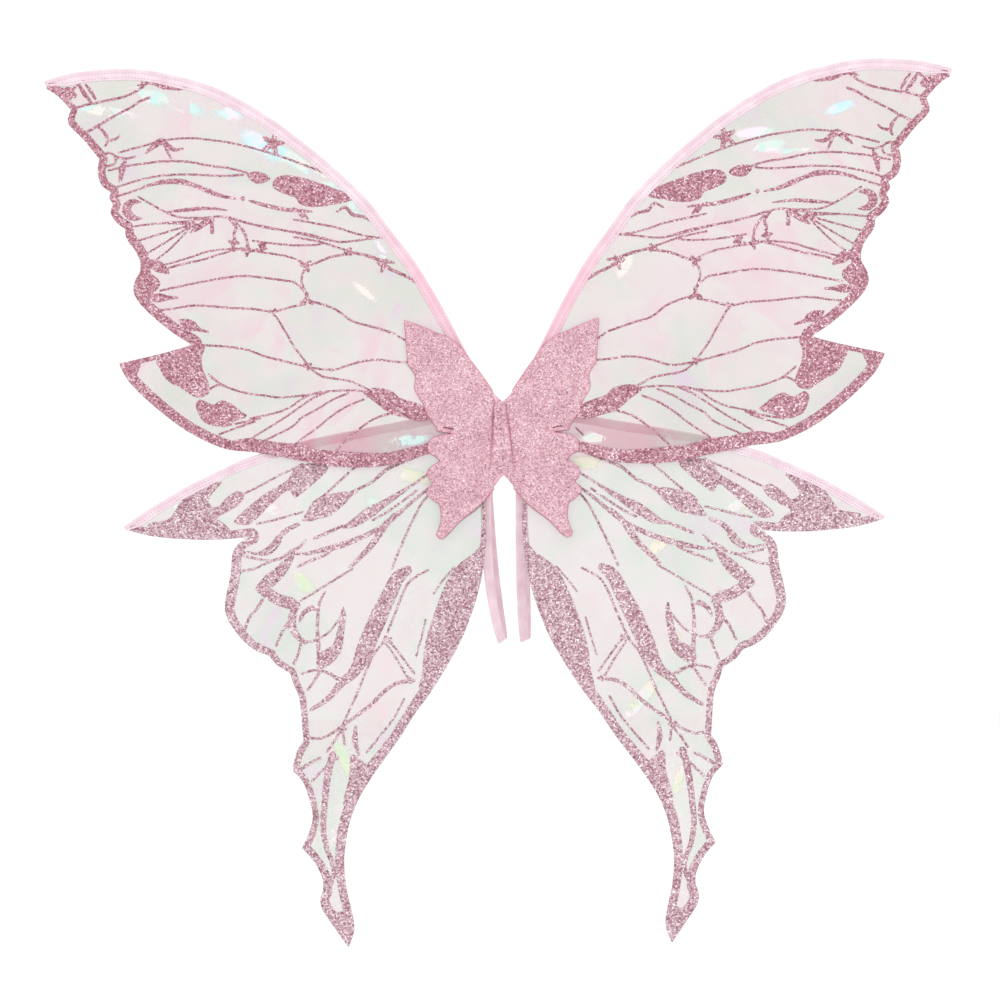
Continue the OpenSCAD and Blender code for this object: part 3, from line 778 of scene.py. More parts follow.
def carried(path, rings, y0):
    """A profile carried along a path in X and Z: each ring's points lie square to the path, so
    many millimetres inwards and so many in Y."""
    xz = path[:, None] + rings[..., :1] * leftward(path)[:, None]
    points = np.insert(xz.reshape(-1, 2), 1, (y0 + rings[..., 1]).ravel(), 1)
    return points, tube_faces(*rings.shape[:2])


def run_of(path):
    """The distance along a path to each of its points."""
    return np.concatenate([[0], np.cumsum(np.linalg.norm(np.diff(path, axis=0), axis=1))])


def evenly(path, pitch):
    """The path's points again, a pitch apart along it."""
    run = run_of(path)
    at = np.linspace(0, run[-1], int(run[-1] / pitch) + 1)
    return np.stack([np.interp(at, run, path[:, c]) for c in range(path.shape[1])], 1), at


def cloth_uv(first, second):
    """Places on a band's cloth in metres, from lengths in millimetres in two directions."""
    return np.stack(np.broadcast_arrays(first, second), -1).reshape(-1, 2) / 1000


def stitches(centres, along, out, length, radius):
    """A row of thread stitches. Each is a short tube, thickest in its middle and half sunk at
    its ends, along its own direction and raised in the direction out."""
    t = np.linspace(-1, 1, 6)
    a = np.linspace(0, 2 * np.pi, 6, endpoint=False)
    along = unit(np.broadcast_to(along, centres.shape))
    out = np.broadcast_to(out, centres.shape)
    across = np.cross(out, along)
    r = radius * np.sqrt(np.clip(1.02 - t ** 4, 0.02, 1))
    rise = radius * 0.9 * (1 - t ** 2) - radius * 0.3
    body = (centres[:, None, None, :]
        + along[:, None, None, :] * (t * length / 2)[None, :, None, None]
        + out[:, None, None, :] * (rise[:, None] + r[:, None] * np.sin(a))[None, :, :, None]
        + across[:, None, None, :] * (r[:, None] * np.cos(a))[None, :, :, None])
    start = (np.arange(len(centres)) * len(t) * len(a))[:, None, None]
    walls, first, last = tube_faces(len(t), len(a), turned=True)
    return body.reshape(-1, 3), [(face[None] + start).reshape(-1, face.shape[1])
        for face in (walls, np.vstack([first, last]))]


def satin(name, low, high):
    """Satin weave: long floats of thread across the tape, in rows offset like brickwork, with a
    soft drift in shade, and a stronger pink near the root, which on the lower tape is partly
    painted light. It reads the tape's own lengths."""
    tape = Material(name)
    cloth = tape.node("UVMap", uv_map="cloth")["UV"]
    floats = tape.node("TexBrick", {"Vector": cloth, "Scale": 900.0, "Mortar Size": 0.03,
        "Mortar Smooth": 1.0, "Brick Width": 1.1, "Row Height": 0.28,
        "Color1": (1, 1, 1, 1), "Color2": (0.72, 0.72, 0.72, 1),
        "Mortar": (0, 0, 0, 1)})["Color"]
    shade = tape.math("MULTIPLY_ADD", floats, 0.25, tape.noise(cloth, 55.0, 4.0))
    return tape.finish({
        "Base Color": tape.mix(tape.number("root"),
            tape.ramp(shade, [(0.40, low), (0.85, high)]), srgb(238, 172, 192)),
        "Roughness": tape.mapped(floats, 0.55, 0.36),
        "Normal": tape.bump(floats, 0.25, 0.0001),
        "Sheen Weight": 0.25,
        "Sheen Roughness": 0.4})


def thread(name, low, high):
    """Twisted sewing thread: fine slanting plies, light on their crowns and dark between, which
    is painted highlight and painted shade.
    """
    yarn = Material(name)
    slant = yarn.node("Mapping", {"Vector": yarn.place(), "Rotation": (0.5, 0.7, 0.9)})[0]
    plies = yarn.node("TexWave", {"Vector": slant, "Scale": 900.0, "Distortion": 2.0,
        "Detail": 2.0})["Fac"]
    return yarn.finish({
        "Base Color": yarn.ramp(plies, [(0.1, low), (0.9, high)]),
        "Normal": yarn.bump(plies, 0.4, 0.0001),
        "Roughness": 0.6,
        "Sheen Weight": 0.3})


satin_pink = satin("pink_satin_tape", srgb(224, 194, 206), srgb(240, 222, 231))
seam_pink = thread("pink_seam_thread", srgb(196, 140, 160), srgb(226, 178, 194))


def folded_tape(name, side, path, width, y0, seed, blush_and_painted_light):
    """The tape's section is a fold round the wire and two legs over the film. Its legs dip at
    each row of stitches, and ripple towards their edge where the stitches pull them. The
    blush is how pink the root end is, and the two places in X between which that fades; on
    the lower tape this pink is partly painted light."""
    line, run = evenly(path, 2.0)
    rng = np.random.default_rng(seed)
    wide = np.minimum(width, 5 + 0.3 * run)[:, None]
    wide = wide + 0.25 * np.sin(run / 9 + rng.uniform(0, 6))[:, None]
    leg = np.array([1.0, 0.86, 0.74, 0.60, 0.46, 0.34, 0.24]) * (wide - BULB - 1.0) + 1.0
    dip = 0.22 * sum(np.exp(-((leg - row) / 0.8) ** 2)
        for row in (ROW_IN, wide - BULB - ROW_OUT))
    waves = sum(np.sin(run / length + rng.uniform(0, 6)) for length in (1.6, 2.7, 4.4))
    ripple = 0.10 * waves[:, None] * (leg / wide) ** 2 * smoothstep(4, 14, run)[:, None]
    bend = np.radians(np.linspace(-28, -332, 13))[None]
    around = np.stack([np.cos(bend), np.sin(bend)], -1).repeat(len(run), 0)
    rings = np.concatenate([
        np.stack([leg, dip - LEG + ripple], -1), BULB * around,
        np.stack([leg, LEG - dip + ripple], -1)[:, ::-1],
        np.stack([leg, SLOT + ripple], -1), CHANNEL * around[:, ::-1],
        np.stack([leg, ripple - SLOT], -1)[:, ::-1]], 1)
    points, faces = carried(line, rings, y0)
    across = np.cumsum(np.linalg.norm(np.diff(rings, axis=1, prepend=rings[:, :1]), axis=2), 1)
    # Root pink: the tape's own pink, and on the lower tape partly painted light.
    depth, start, end = blush_and_painted_light
    tape = new_piece(name, points, faces, satin_pink, side,
        {"root": np.repeat(depth * smoothstep(start, end, line[:, 0]), rings.shape[1])},
        cloth_uv(run[:, None], across))
    spots, spot_run = (values[3:-2] for values in evenly(path, STITCH_PITCH))
    left = leftward(spots)
    heading = np.stack([left[:, 1], 0 * left[:, 0], -left[:, 0]], 1)
    places, outs = [], []
    for inward in (ROW_IN, np.minimum(width, 5 + 0.3 * spot_run)[:, None] - BULB - ROW_OUT):
        for face in (-1, 1):
            places.append(np.insert(spots + inward * left, 1, y0 + face * (LEG - 0.2), 1))
            outs.append(np.tile([0.0, face, 0.0], (len(spots), 1)))
    seam_points, seam_faces = stitches(np.vstack(places), np.tile(heading, (4, 1)),
        np.vstack(outs), 2.5, 0.2)
    seam = new_piece(name.replace("tape", "seam"), seam_points, seam_faces, seam_pink, side)
    return tape, seam, run[-1]


lower_path = on_wing(smooth(LOWER_WIRE, WIRE_STEPS), LOWER_REACH)
# The lower tape's root pink is partly painted light, for the tape shaded behind the upper film.
for part, path, width, y0, blush_and_painted_light in (("upper", upper_path, 11, UPPER_Y, (0.5, 130, 60)),
        ("lower", lower_path, 9, LOWER_Y, (0.8, 240, 140))):
    for side, word in SIDES.items():
        tape, seam, length = folded_tape(f"{part}_tape_{word}", side, path, width, y0,
            len(part) + side, blush_and_painted_light)
        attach(tape, f"wing_{word}")
        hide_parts(f"{part}_casing_{word}")
        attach(seam, f"wing_{word}")


# ---- Lower wings: film ----
# Each lower wing is a second, paler sheet of the same film behind the upper one. It runs out
# to a side point, then down through scallops to a long tail, and has its own wire and tape.
LOWER_LOBES = [
    [(364, -80), (340, -86), (310, -89), (285, -90), (262, -89), (246, -87)],
    [(246, -87), (257, -93), (264, -103), (266, -122), (271, -145), (272, -159),
        (267, -172), (256, -187), (243, -198), (230, -203)],
    [(230, -203), (224, -211), (217, -216), (210, -220)],
    [(210, -220), (207, -231), (202, -242), (200, -256), (199, -272), (198, -286)],
    [(198, -286), (204, -295), (208, -308), (209, -315)],
    [(209, -315), (199, -326), (193, -343), (190, -360), (194, -375), (201, -390)],
    [(201, -390), (191, -401), (184, -413), (181, -422), (181, -431)],
    [(181, -431), (184, -440), (182, -450), (175, -461), (166, -474), (157, -487)],
    [(157, -487), (151, -470), (153, -452), (158, -430), (160, -405), (158, -385),
        (154, -365), (146, -345), (136, -328), (122, -308), (105, -285), (90, -262),
        (75, -242), (60, -219), (45, -193), (34, -167), (26, -142), (21, -118),
        (18, -90), (18, -60), (18, -20)]]
# The second list is the colours of the painted glints, painted highlights.
lower_film = iridescent_film("iridescent_film_lower",
    [(0.20, srgb(216, 188, 187)), (0.36, srgb(206, 202, 193)), (0.50, srgb(206, 213, 202)),
        (0.62, srgb(184, 214, 188)), (0.74, srgb(207, 200, 212)), (0.85, srgb(212, 186, 195))],
    [(0.34, srgb(246, 248, 244)), (0.46, srgb(214, 250, 232)), (0.58, srgb(218, 246, 204)),
        (0.70, srgb(244, 248, 226))],
    0.30, 0.40)
lower_edge = lower_path + FILM_INSET * leftward(lower_path)
lower_free_edge = on_wing(edge_of(LOWER_LOBES, EDGE_STEPS), LOWER_REACH)
lower_outline = np.vstack([lower_edge[:0:-1], lower_free_edge,
    [(17.5, 28.2), (lower_edge[-1, 0] - 1.5, 28.2)]])
# Bright places on the lower film, painted highlights, listed as for the upper one.
LOWER_PAINTED_GLINTS = {
    -1: [(320, -55, 20, 6, 30), (230, -60, 16, 6, 20), (200, -130, 18, 7, 40),
        (120, -60, 16, 6, 30), (160, -300, 26, 5, 70), (172, -370, 20, 4, 85),
        (90, -30, 24, 6, 15)],
    1: [(230, -62, 16, 6, 20), (150, -100, 16, 6, 40), (160, -200, 14, 6, 60),
        (130, -250, 26, 6, 50), (165, -330, 20, 4, 75), (80, -20, 26, 6, 5)]}
lower_puff = {side: Creases(31 + side, [(40, -470), (360, 10)], 90, lower_path, 1.4)
    for side in (-1, 1)}
for side, word in SIDES.items():
    film = film_sheet(f"lower_film_sheet_{word}", side, LOWER_BOARD, lower_outline, LOWER_Y,
        lower_puff[side], 1, LOWER_PAINTED_GLINTS[side], lower_film)
    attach(film, f"wing_{word}")
    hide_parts(f"lower_film_{word}")


# ---- Lower wings: printed glitter ----
# The same rose glitter, printed thinner and so paler, in broad leaves, long veins and a border
# that widens along the inner edge.
LOWER_LINES = [
    ((1.6,), [(255, -47), (240, -40), (215, -27), (195, -18)]),
    ((1.6,), [(240, -75), (225, -72), (210, -68), (195, -64)]),
    ((2, 10, 18, 20, 16, 10, 5, 2), [(195, -72), (188, -68), (180, -62), (172, -58),
        (165, -55), (155, -50), (150, -48), (140, -42)]),
    ((2, 3, 2), [(140, -42), (128, -36), (115, -25), (105, -20), (85, -12), (60, -2)]),
    ((1.6,), [(177, -50), (165, -40), (145, -22), (130, -12)]),
    ((1.5, 8, 10, 6, 2, 1.5), [(157, -80), (145, -75), (130, -65), (115, -56), (90, -40),
        (72, -28)]),
    ((1.8,), [(128, -73), (115, -66), (100, -56), (85, -45)]),
    ((2, 3, 2), [(185, -90), (175, -86), (157, -78)]),
    ((2, 5, 3), [(240, -104), (230, -100), (220, -90), (212, -82), (200, -76)]),
    ((2, 5, 4, 3, 2), [(195, -105), (175, -101), (145, -92), (115, -77), (90, -56),
        (72, -42)]),
    ((3, 6, 3), [(150, -118), (130, -98), (115, -77), (104, -66)]),
    ((1.8,), [(110, -120), (98, -92), (82, -60), (72, -48)]),
    ((1.6,), [(228, -104), (222, -99), (217, -92)]),
    ((2, 1.6), [(257, -102), (247, -103), (235, -105), (228, -104)]),
    ((2, 1.6), [(253, -106), (244, -108), (235, -110), (226, -111)]),
    ((2, 1.8, 2.6, 2), [(256, -121), (245, -119), (235, -115), (226, -111), (216, -108),
        (207, -102), (199, -98), (193, -92)]),
    ((1.8,), [(207, -104), (191, -105), (180, -103), (170, -101), (159, -99), (147, -94)]),
    ((1.8, 2.4, 1.8), [(201, -117), (192, -113), (182, -109), (172, -105), (167, -100)]),
    ((8, 12, 11, 8, 3), [(237, -137), (228, -130), (219, -122), (212, -114), (206, -107)]),
    ((9, 10, 10, 11, 7), [(237, -138), (228, -144), (220, -149), (210, -152), (203, -155)]),
    ((6, 7, 7, 5, 3), [(204, -155), (207, -165), (207, -176), (202, -185), (195, -191)]),
    ((4, 4, 2), [(188, -157), (196, -162), (200, -170)]),
    ((1.8,), [(192, -157), (181, -160)]),
    ((1.6, 2, 3, 4), [(175, -142), (180, -151), (182, -162), (183, -179), (182, -195),
        (181, -219)]),
    ((1.8, 1.4), [(198, -189), (190, -190), (182, -187), (173, -182), (166, -174),
        (160, -166)]),
    ((2, 2.6, 2), [(206, -160), (210, -170), (217, -180), (223, -193)]),
    ((3, 1.8, 3), [(236, -149), (241, -157), (248, -165), (253, -176)]),
    ((2.4, 1.8, 2.4), [(199, -192), (202, -202), (206, -211)]),
    ((1.8, 2, 4), [(198, -221), (189, -218), (181, -218), (172, -221), (164, -226),
        (157, -229)]),
    ((2.2, 1.8), [(181, -219), (187, -228), (193, -237)]),
    ((1.6,), [(200, -151), (185, -142), (170, -133), (148, -120)]),
    ((2.5, 4, 5, 7, 9, 12, 15, 16, 14, 12, 8), [(190, -256), (180, -250), (170, -242),
        (160, -230), (150, -222), (143, -212), (138, -200), (125, -170), (115, -150),
        (105, -130), (95, -122)]),
    ((2, 2, 2.5, 3, 3, 3), [(195, -282), (183, -284), (172, -280), (160, -272),
        (140, -258), (130, -250), (120, -240), (108, -232), (92, -229)]),
    ((1.8,), [(160, -272), (152, -255), (145, -240), (130, -205), (120, -192),
        (108, -165), (100, -145), (92, -132), (75, -122)]),
    ((1.7,), [(117, -193), (108, -206), (95, -228)]),
    ((1.7,), [(115, -188), (103, -204), (90, -222)]),
    ((1.7,), [(100, -247), (110, -265), (120, -278), (137, -298)]),
    ((1.4,), [(78, -170), (82, -186), (88, -206)]),
    ((1.4,), [(70, -145), (62, -134), (50, -120)]),
    ((6, 6, 5, 5, 4, 4, 3), [(170, -300), (175, -320), (178, -345), (180, -370),
        (177, -390), (170, -410), (173, -425)]),
    ((2, 3), [(182, -303), (192, -308), (203, -315)]),
    ((2, 2), [(165, -303), (178, -313), (190, -325)]),
    ((2,), [(160, -275), (168, -286), (175, -297)]),
    ((1.8,), [(160, -275), (158, -290)]),
    ((2, 5, 2), [(147, -273), (148, -286), (145, -300)])]
LOWER_FILLS = [
    [(262, -72), (240, -52), (225, -42), (210, -33), (200, -20), (175, -16), (170, -22),
        (180, -33), (195, -45), (203, -50), (210, -43), (228, -58), (240, -70), (250, -76)],
    [(346, -74), (327, -70), (320, -63), (314, -54), (308, -47), (296, -41), (284, -36),
        (273, -34), (279, -41), (285, -48), (286, -55), (278, -58), (269, -49), (258, -43),
        (252, -48), (257, -56), (268, -63), (278, -69), (270, -76), (266, -86), (300, -90),
        (330, -86)],
    [(158, -156), (155, -165), (157, -182), (160, -199), (167, -209), (178, -216),
        (184, -215), (183, -203), (176, -198), (168, -193), (164, -181), (161, -168)],
    [(22, -98), (30, -106), (44, -116), (54, -128), (61, -142), (68, -160), (75, -180),
        (80, -200), (82, -220), (86, -240), (80, -250), (60, -225), (50, -200), (36, -175),
        (27, -150), (20, -120)],
    [(152, -300), (154, -322), (160, -345), (156, -362), (146, -352), (134, -330),
        (130, -318), (142, -306)],
    [(181, -450), (176, -456), (164, -452), (152, -452), (148, -475), (157, -490),
        (172, -468), (184, -446)]]
LOWER_STARS = [(160, -274, 5, 4, 0.5, 0.3), (113, -190, 4, 3, 0.6, 0),
    (92, -229, 4, 3, 0.6, 1)]
pale_glitter = printed_glitter("printed_pale_glitter",
    [(0.0, srgb(146, 100, 114)), (0.25, srgb(182, 138, 151)), (0.55, srgb(212, 180, 190)),
        (0.80, srgb(234, 214, 220)), (0.97, srgb(254, 242, 245))], 1.35)
starts = starts_of(LOWER_LOBES)
lower_borders = [
    ((14, 16, 16, 16), lower_free_edge[:starts[1] + 1]),
    ((14, 18, 20, 18, 16, 14), lower_free_edge[starts[1]:starts[2] + 1]),
    ((14, 12, 13, 12, 14, 12, 12, 14), lower_free_edge[starts[2]:starts[6] + 1]),
    ((14, 16, 18, 20, 30), lower_free_edge[starts[6]:starts[8] + 1]),
    ((28, 18, 16, 18, 20, 20, 22, 18, 20, 24, 28, 20, 14, 8, 6),
        lower_free_edge[starts[8]:])]
for side, word in SIDES.items():
    glitter = print_sheet(f"lower_print_{word}", side, LOWER_BOARD, LOWER_LINES, LOWER_FILLS,
        LOWER_STARS, lower_borders, lower_outline, LOWER_REACH, LOWER_Y, lower_puff[side], 1,
        pale_glitter)
    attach(glitter, f"wing_{word}")


# ---- Spine packing ----
# A block of soft foam fills the pinched middle of the emblem, and a plastic strip inside it
# keeps it straight. Both are sewn in between the front and the backing.
packing = Material("packing_foam")
pores = packing.cells(packing.place(), 1500.0)[0]["Distance"]
foam = packing.finish({
    "Base Color": packing.ramp(pores, [(0.1, srgb(232, 196, 206)), (0.6, srgb(246, 224, 230))]),
    "Normal": packing.bump(pores, 0.6, 0.0004),
    "Roughness": 0.9})
strip = Material("stay_plastic")
streaks = strip.noise(strip.node("Mapping", {"Vector": strip.place(),
    "Scale": (900, 900, 30)})[0], 1.0, 3.0)
stay_plastic = strip.finish({
    "Base Color": strip.ramp(streaks, [(0.3, srgb(226, 226, 224)), (0.7, srgb(242, 242, 240))]),
    "Roughness": strip.mapped(streaks, 0.3, 0.5)})
dark_thread = thread("dark_red_thread", srgb(120, 44, 70), srgb(164, 84, 106))
finish_cad(foam, "spine_core")
finish_cad(stay_plastic, "spine_stay")
finish_cad(dark_thread, "spine_stitching")


# ---- Emblem front ----
# Each half of the small butterfly is cut from pink glitter cloth, and its cut edge shows the
# cloth's stronger pink. It is tacked over the roots of the wings.
EMBLEM_UPPER = [
    [(10, 51), (18, 63), (28, 77), (40, 93), (52, 103)],
    [(52, 103), (64, 108), (78, 114), (94, 120)],
    [(94, 120), (93, 105), (92, 90), (91, 77)],
    [(91, 77), (84, 66), (85, 54), (80, 44)],
    [(80, 44), (76, 37), (74, 30), (67, 20), (63, 12)]]
EMBLEM_SLIT = [(47, 10)]
EMBLEM_LOWER = [
    [(63, 8), (71, 3), (73, -7), (66, -12), (61, -17)],
    [(61, -17), (73, -25), (72, -34), (68, -38)],
    [(68, -38), (75, -46), (70, -53), (62, -59)],
    [(62, -59), (61, -74), (66, -88)],
    [(66, -88), (62, -92), (55, -88), (44, -76), (30, -65), (20, -56), (10, -44)]]
FRONT_Y, FRONT_T, FOLD_X, FRONT_CUT_X = -8.6, 1.4, 10.0, 9.75

emblem_edge = np.vstack([edge_of(EMBLEM_UPPER, EMBLEM_STEPS), EMBLEM_SLIT,
    edge_of(EMBLEM_LOWER, EMBLEM_STEPS)])
emblem_outline = np.vstack([emblem_edge, [(8, -43), (8, 50)]])


def glitter_cloth(name, shades, rim, flake):
    """Glitter bonded to pink cloth: two sizes of flake, the bare cloth's pink along the cut
    edge, where the flakes have rubbed off, and a deeper pink down in the folds, which is
    painted shade."""
    cloth = Material(name)
    coord = cloth.place()
    cells, chance = cloth.cells(coord, 1000 / flake)
    fine_chance = cloth.cells(coord, 2300 / flake)[1]
    pick = cloth.math("MULTIPLY_ADD", chance["Red"], 0.62,
        cloth.math("MULTIPLY", fine_chance["Red"], 0.38))
    pick = cloth.math("MULTIPLY_ADD", cloth.noise(coord, 45.0, 3.0), 0.35, pick)
    pick = cloth.math("SUBTRACT", pick, 0.175, clamp=True)
    worn = cloth.mix(cloth.number("rim"), cloth.ramp(pick, shades), rim)
    return cloth.finish({
        # The folds are darkened with painted shade.
        "Base Color": cloth.mix(cloth.number("fold"), worn, srgb(176, 96, 122)),
        "Normal": cloth.tilted(cells, 0.8),
        "Roughness": cloth.mapped(chance["Green"], 0.25, 0.6),
        "Metallic": 0.25})


pink_glitter = glitter_cloth("pink_glitter_cloth",
    [(0.10, srgb(152, 106, 122)), (0.30, srgb(196, 146, 159)), (0.52, srgb(216, 168, 181)),
        (0.74, srgb(232, 194, 204)), (0.94, srgb(254, 240, 244))], srgb(232, 148, 172), 1.05)


# Pinches in the cloth: x at the top and at the foot, z of the top and of the foot, depth, width
PINCHES = [(-8.6, -12.4, 40, -20, 1.25, 1.15), (3.0, 9.6, 40, -18, 1.25, 1.15),
    (-2.5, -1.0, 28, -22, 0.45, 1.2), (13, 19, 10, -40, 0.35, 1.2),
    (-15, -24, 8, -36, 0.3, 1.2)]


def pinch(x, z):
    """How deep the cloth is pinched. Each crease runs straight from its top to its foot. At a
    distance d from it the cloth sinks by depth * exp(-d / width), less a third of the depth on
    a rounded shoulder at d = 2.4 width, and all of it fades out past both ends."""
    sunk = 0.0
    for x_top, x_foot, z_top, z_foot, depth, width in PINCHES:
        t = (z_top - z) / (z_top - z_foot)
        d = np.abs(x - x_top - (x_foot - x_top) * t) / width
        sunk = sunk + depth * smoothstep(-0.12, 0.12, t) * smoothstep(1.3, 0.8, t) * (
            np.exp(-d) - 0.33 * np.exp(-((d - 2.4) / 1.2) ** 2))
    return sunk


def painted_fold_shade(sunk):
    """Painted shade: how much deeper the pink is in a pinch, 0.7 * sunk ** 1.4, for a pinch up
    to
    1 deep.
    """
    return 0.7 * np.clip(sunk, 0, 1) ** 1.4


def bent_cloth(xz, depth, seed):
    """How the emblem's cloth stands forward: slow waves, a soft curl of its outer points, and a
    roll down at the cut edge. Near the spine it lies flat and dips into the fold."""
    rng = np.random.default_rng(seed)
    x, z = xz[:, 0], xz[:, 1]
    waves = sum(np.sin(x / a + z / b + rng.uniform(0, 6)) for a, b in ((19, 31), (27, -17),
        (11, 23)))
    free = smoothstep(12, 60, x)
    curl = 2.0 * smoothstep(70, 128, np.hypot(x, z)) * free
    dip = 0.15 * np.exp(-((x - FOLD_X) / 1.1) ** 2)
    return 0.3 * waves * free + curl - 0.5 * np.exp(-np.maximum(depth, 0) / 0.45) - dip


for side, word in SIDES.items():
    board = Board((6, -96), (98, 124), CLOTH_GRID)
    board.depth = np.minimum(board.inside(emblem_outline), board.points[..., 0] - FRONT_CUT_X)
    xz, faces = board.cut()
    depth = np.maximum(inside_outline(xz, emblem_outline), 0)
    sunk = pinch(side * xz[:, 0], xz[:, 1])
    lift = bent_cloth(xz, depth, 50 + side) - sunk
    # The fold value is painted shade that darkens the pinches.
    front = thin_sheet(f"emblem_cloth_{word}", xz, faces, FRONT_Y - lift,
        FRONT_Y - np.maximum(lift, -0.2) + FRONT_T, pink_glitter, side,
        {"rim": 0.85 * np.exp(-depth / 0.6), "fold": painted_fold_shade(sunk)})
    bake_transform(front)
    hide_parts(f"emblem_front_{word}")


# ---- Spine front ----
# Between the halves the glitter cloth is pinched into a narrow strip, gathered over the
# packing. The deep creases that run down it spread at the foot into the halves beside it.
def grid_faces(rows, columns):
    """The four-sided faces of a grid of points, numbered row by row."""
    i = np.arange(rows - 1)[:, None] * columns
    j = np.arange(columns - 1)[None]
    return np.stack([i + j, i + j + 1, i + columns + j + 1, i + columns + j],
        -1).reshape(-1, 4)


def spine_strip(half, columns):
    """Points of the strip between the fold lines, in rows from its foot to its top: their x and
    z, and how far each is from the nearer end."""
    x = np.linspace(-half, half, columns)
    share = np.linspace(0, 1, 100)[:, None]
    foot = np.interp(np.abs(x), [0, 4, 10], [-31, -35, -43])
    top = np.interp(np.abs(x), [0, 5, 10], [40, 44, 50])
    z = foot + (top - foot) * share
    return np.broadcast_to(x, z.shape), z, np.minimum(share, 1 - share) * (top - foot)


SPINE_HALF = 9.9
x, z, ends = spine_strip(SPINE_HALF, 89)
sunk = pinch(x, z)
swell = 0.75 + 0.25 * np.sin(x / 2.1 + z / 29)
edge_dip = 0.1 * np.exp(-(SPINE_HALF - np.abs(x)) / 0.7) + 0.5 * np.exp(-ends / 0.5)
front_y = FRONT_Y - 0.95 * swell * smoothstep(SPINE_HALF, 7.5, np.abs(x)) + sunk + edge_dip
# The fold value is painted shade that darkens the pinches.
spine_cloth = thin_sheet("spine_cloth", np.stack([x.ravel(), z.ravel()], 1),
    [grid_faces(*z.shape)], front_y.ravel(), FRONT_Y + FRONT_T, pink_glitter, 1,
    {"rim": (0.8 * np.exp(-ends / 0.7)).ravel(), "fold": painted_fold_shade(sunk).ravel()})
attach(spine_cloth, "spine")
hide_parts("spine_front")


# ---- Emblem backing ----
# Plain pink cotton backs the emblem on the wearer's side. It is cut a little larger than the
# front, so that a thread of it shows all round, most of all along the lower left edge.
BACKING_Y, BACKING_T, BACKING_CUT_X, SEAM_X = -0.15, 0.7, 9.4, 7.5


def plain_weave(name, low, high, pitch):
    """Plain woven cloth: threads cross over and under, a tiny board of raised squares, with
    uneven yarn and a slow drift in shade."""
    weave = Material(name)
    coord = weave.place()
    warp, weft = (weave.node("TexWave", {"Vector": coord, "Scale": 314 / pitch,
        "Distortion": 0.4, "Detail": 2.0, "Detail Scale": 2.0}, bands_direction=way)["Fac"]
        for way in "XZ")
    cross = weave.math("MULTIPLY", warp, weft)
    shade = weave.math("MULTIPLY_ADD", cross, 0.45,
        weave.math("MULTIPLY", weave.noise(coord, 140.0, 5.0), 0.4))
    return weave.finish({
        "Base Color": weave.ramp(shade, [(0.12, low), (0.65, high)]),
        "Normal": weave.bump(cross, 0.5, 0.00015),
        "Roughness": 0.85,
        "Sheen Weight": 0.3})


backing_pink = plain_weave("pink_backing_cotton", srgb(220, 148, 168), srgb(240, 182, 198),
    0.5)
for side, word in SIDES.items():
    board = Board((6, -98), (98, 124), CLOTH_GRID)
    spread = 0.7 + (1.2 if side < 0 else 0.3) * np.exp(
        -(np.linalg.norm(board.points - (26, -60), axis=2) / 18) ** 2)
    board.depth = np.minimum(board.inside(emblem_outline) + spread,
        board.points[..., 0] - BACKING_CUT_X)
    xz, faces = board.cut()
    rng = np.random.default_rng(70 + side)
    waves = sum(np.sin(xz[:, 0] / a + xz[:, 1] / b + rng.uniform(0, 6))
        for a, b in ((23, 29), (13, -19)))
    lie = 0.05 * waves * smoothstep(24, 50, xz[:, 0])
    backing = thin_sheet(f"emblem_backing_{word}", xz, faces, BACKING_Y - BACKING_T + lie,
        BACKING_Y + lie, backing_pink, side)
    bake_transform(backing)
    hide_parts(f"emblem_back_{word}")

x, z, _ = spine_strip(9.5, 41)
seam_dip = 0.22 * np.exp(-((np.abs(x) - SEAM_X) / 0.9) ** 2)
spine_backing = thin_sheet("spine_backing", np.stack([x.ravel(), z.ravel()], 1),
    [grid_faces(*z.shape)], -0.9, (-0.05 - seam_dip).ravel(), backing_pink)
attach(spine_backing, "spine")
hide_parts("spine_back")
seam_places = np.array([(sx, -0.3, sz) for sx in (-SEAM_X, SEAM_X)
    for sz in np.arange(-30, 40, 4.0)])
points, faces = stitches(seam_places, (0.0, 0.0, 1.0), (0.0, 1.0, 0.0), 3.0, 0.28)
spine_seam = new_piece("spine_seam", points, faces, seam_pink)
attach(spine_seam, "spine")


# ---- Tack stitches ----
# Short hand stitches of doubled dark red thread hold each emblem half to the wing beside it.
# One more goes through the film and tape beyond the emblem, at a different place on each side.
FILM_TACKS = {-1: ((90, 25), (98, 31)), 1: ((70, 14), (78, 6))}


def tack_thread(name, side, start, end, y):
    """Two plies twisted round each other along a low arch from one needle hole to the next."""
    n, m = 25, 9
    t = np.linspace(0, 1, n)[:, None]
    a = np.linspace(0, 2 * np.pi, m, endpoint=False)[None]
    way = np.array(end, float) - start
    length = np.hypot(*way)
    heading = way / length
    centre_y = y - 0.55 * np.sin(np.pi * t) ** 0.6 + 0.15
    r = 0.42 * np.sqrt(np.clip(1.02 - (2 * t - 1) ** 6, 0.03, 1)) + 0 * a
    points, faces = [], []
    for first, ply in ((0, 0), (n * m, np.pi)):
        turn = ply + t * length * 1.6
        off = 0.36 * np.cos(turn) + r * np.cos(a)
        rise = 0.28 * np.sin(turn) + r * np.sin(a)
        points.append(np.stack([start[0] + t * way[0] - off * heading[1], centre_y - rise,
            start[1] + t * way[1] + off * heading[0]], -1).reshape(-1, 3))
        faces += [face + first for face in tube_faces(n, m)]
    return new_piece(name, np.vstack(points), faces, dark_thread, side)


for side, word in SIDES.items():
    inner_tack = tack_thread(f"emblem_tack_{word}", side, (47, 14), (58, 16), FRONT_Y - 0.1)
    outer_tack = tack_thread(f"film_tack_{word}", side, *FILM_TACKS[side], UPPER_Y - 1.6)
    for tack in (inner_tack, outer_tack):
        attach(tack, f"wing_{word}")
    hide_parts(f"emblem_tacks_{word}")


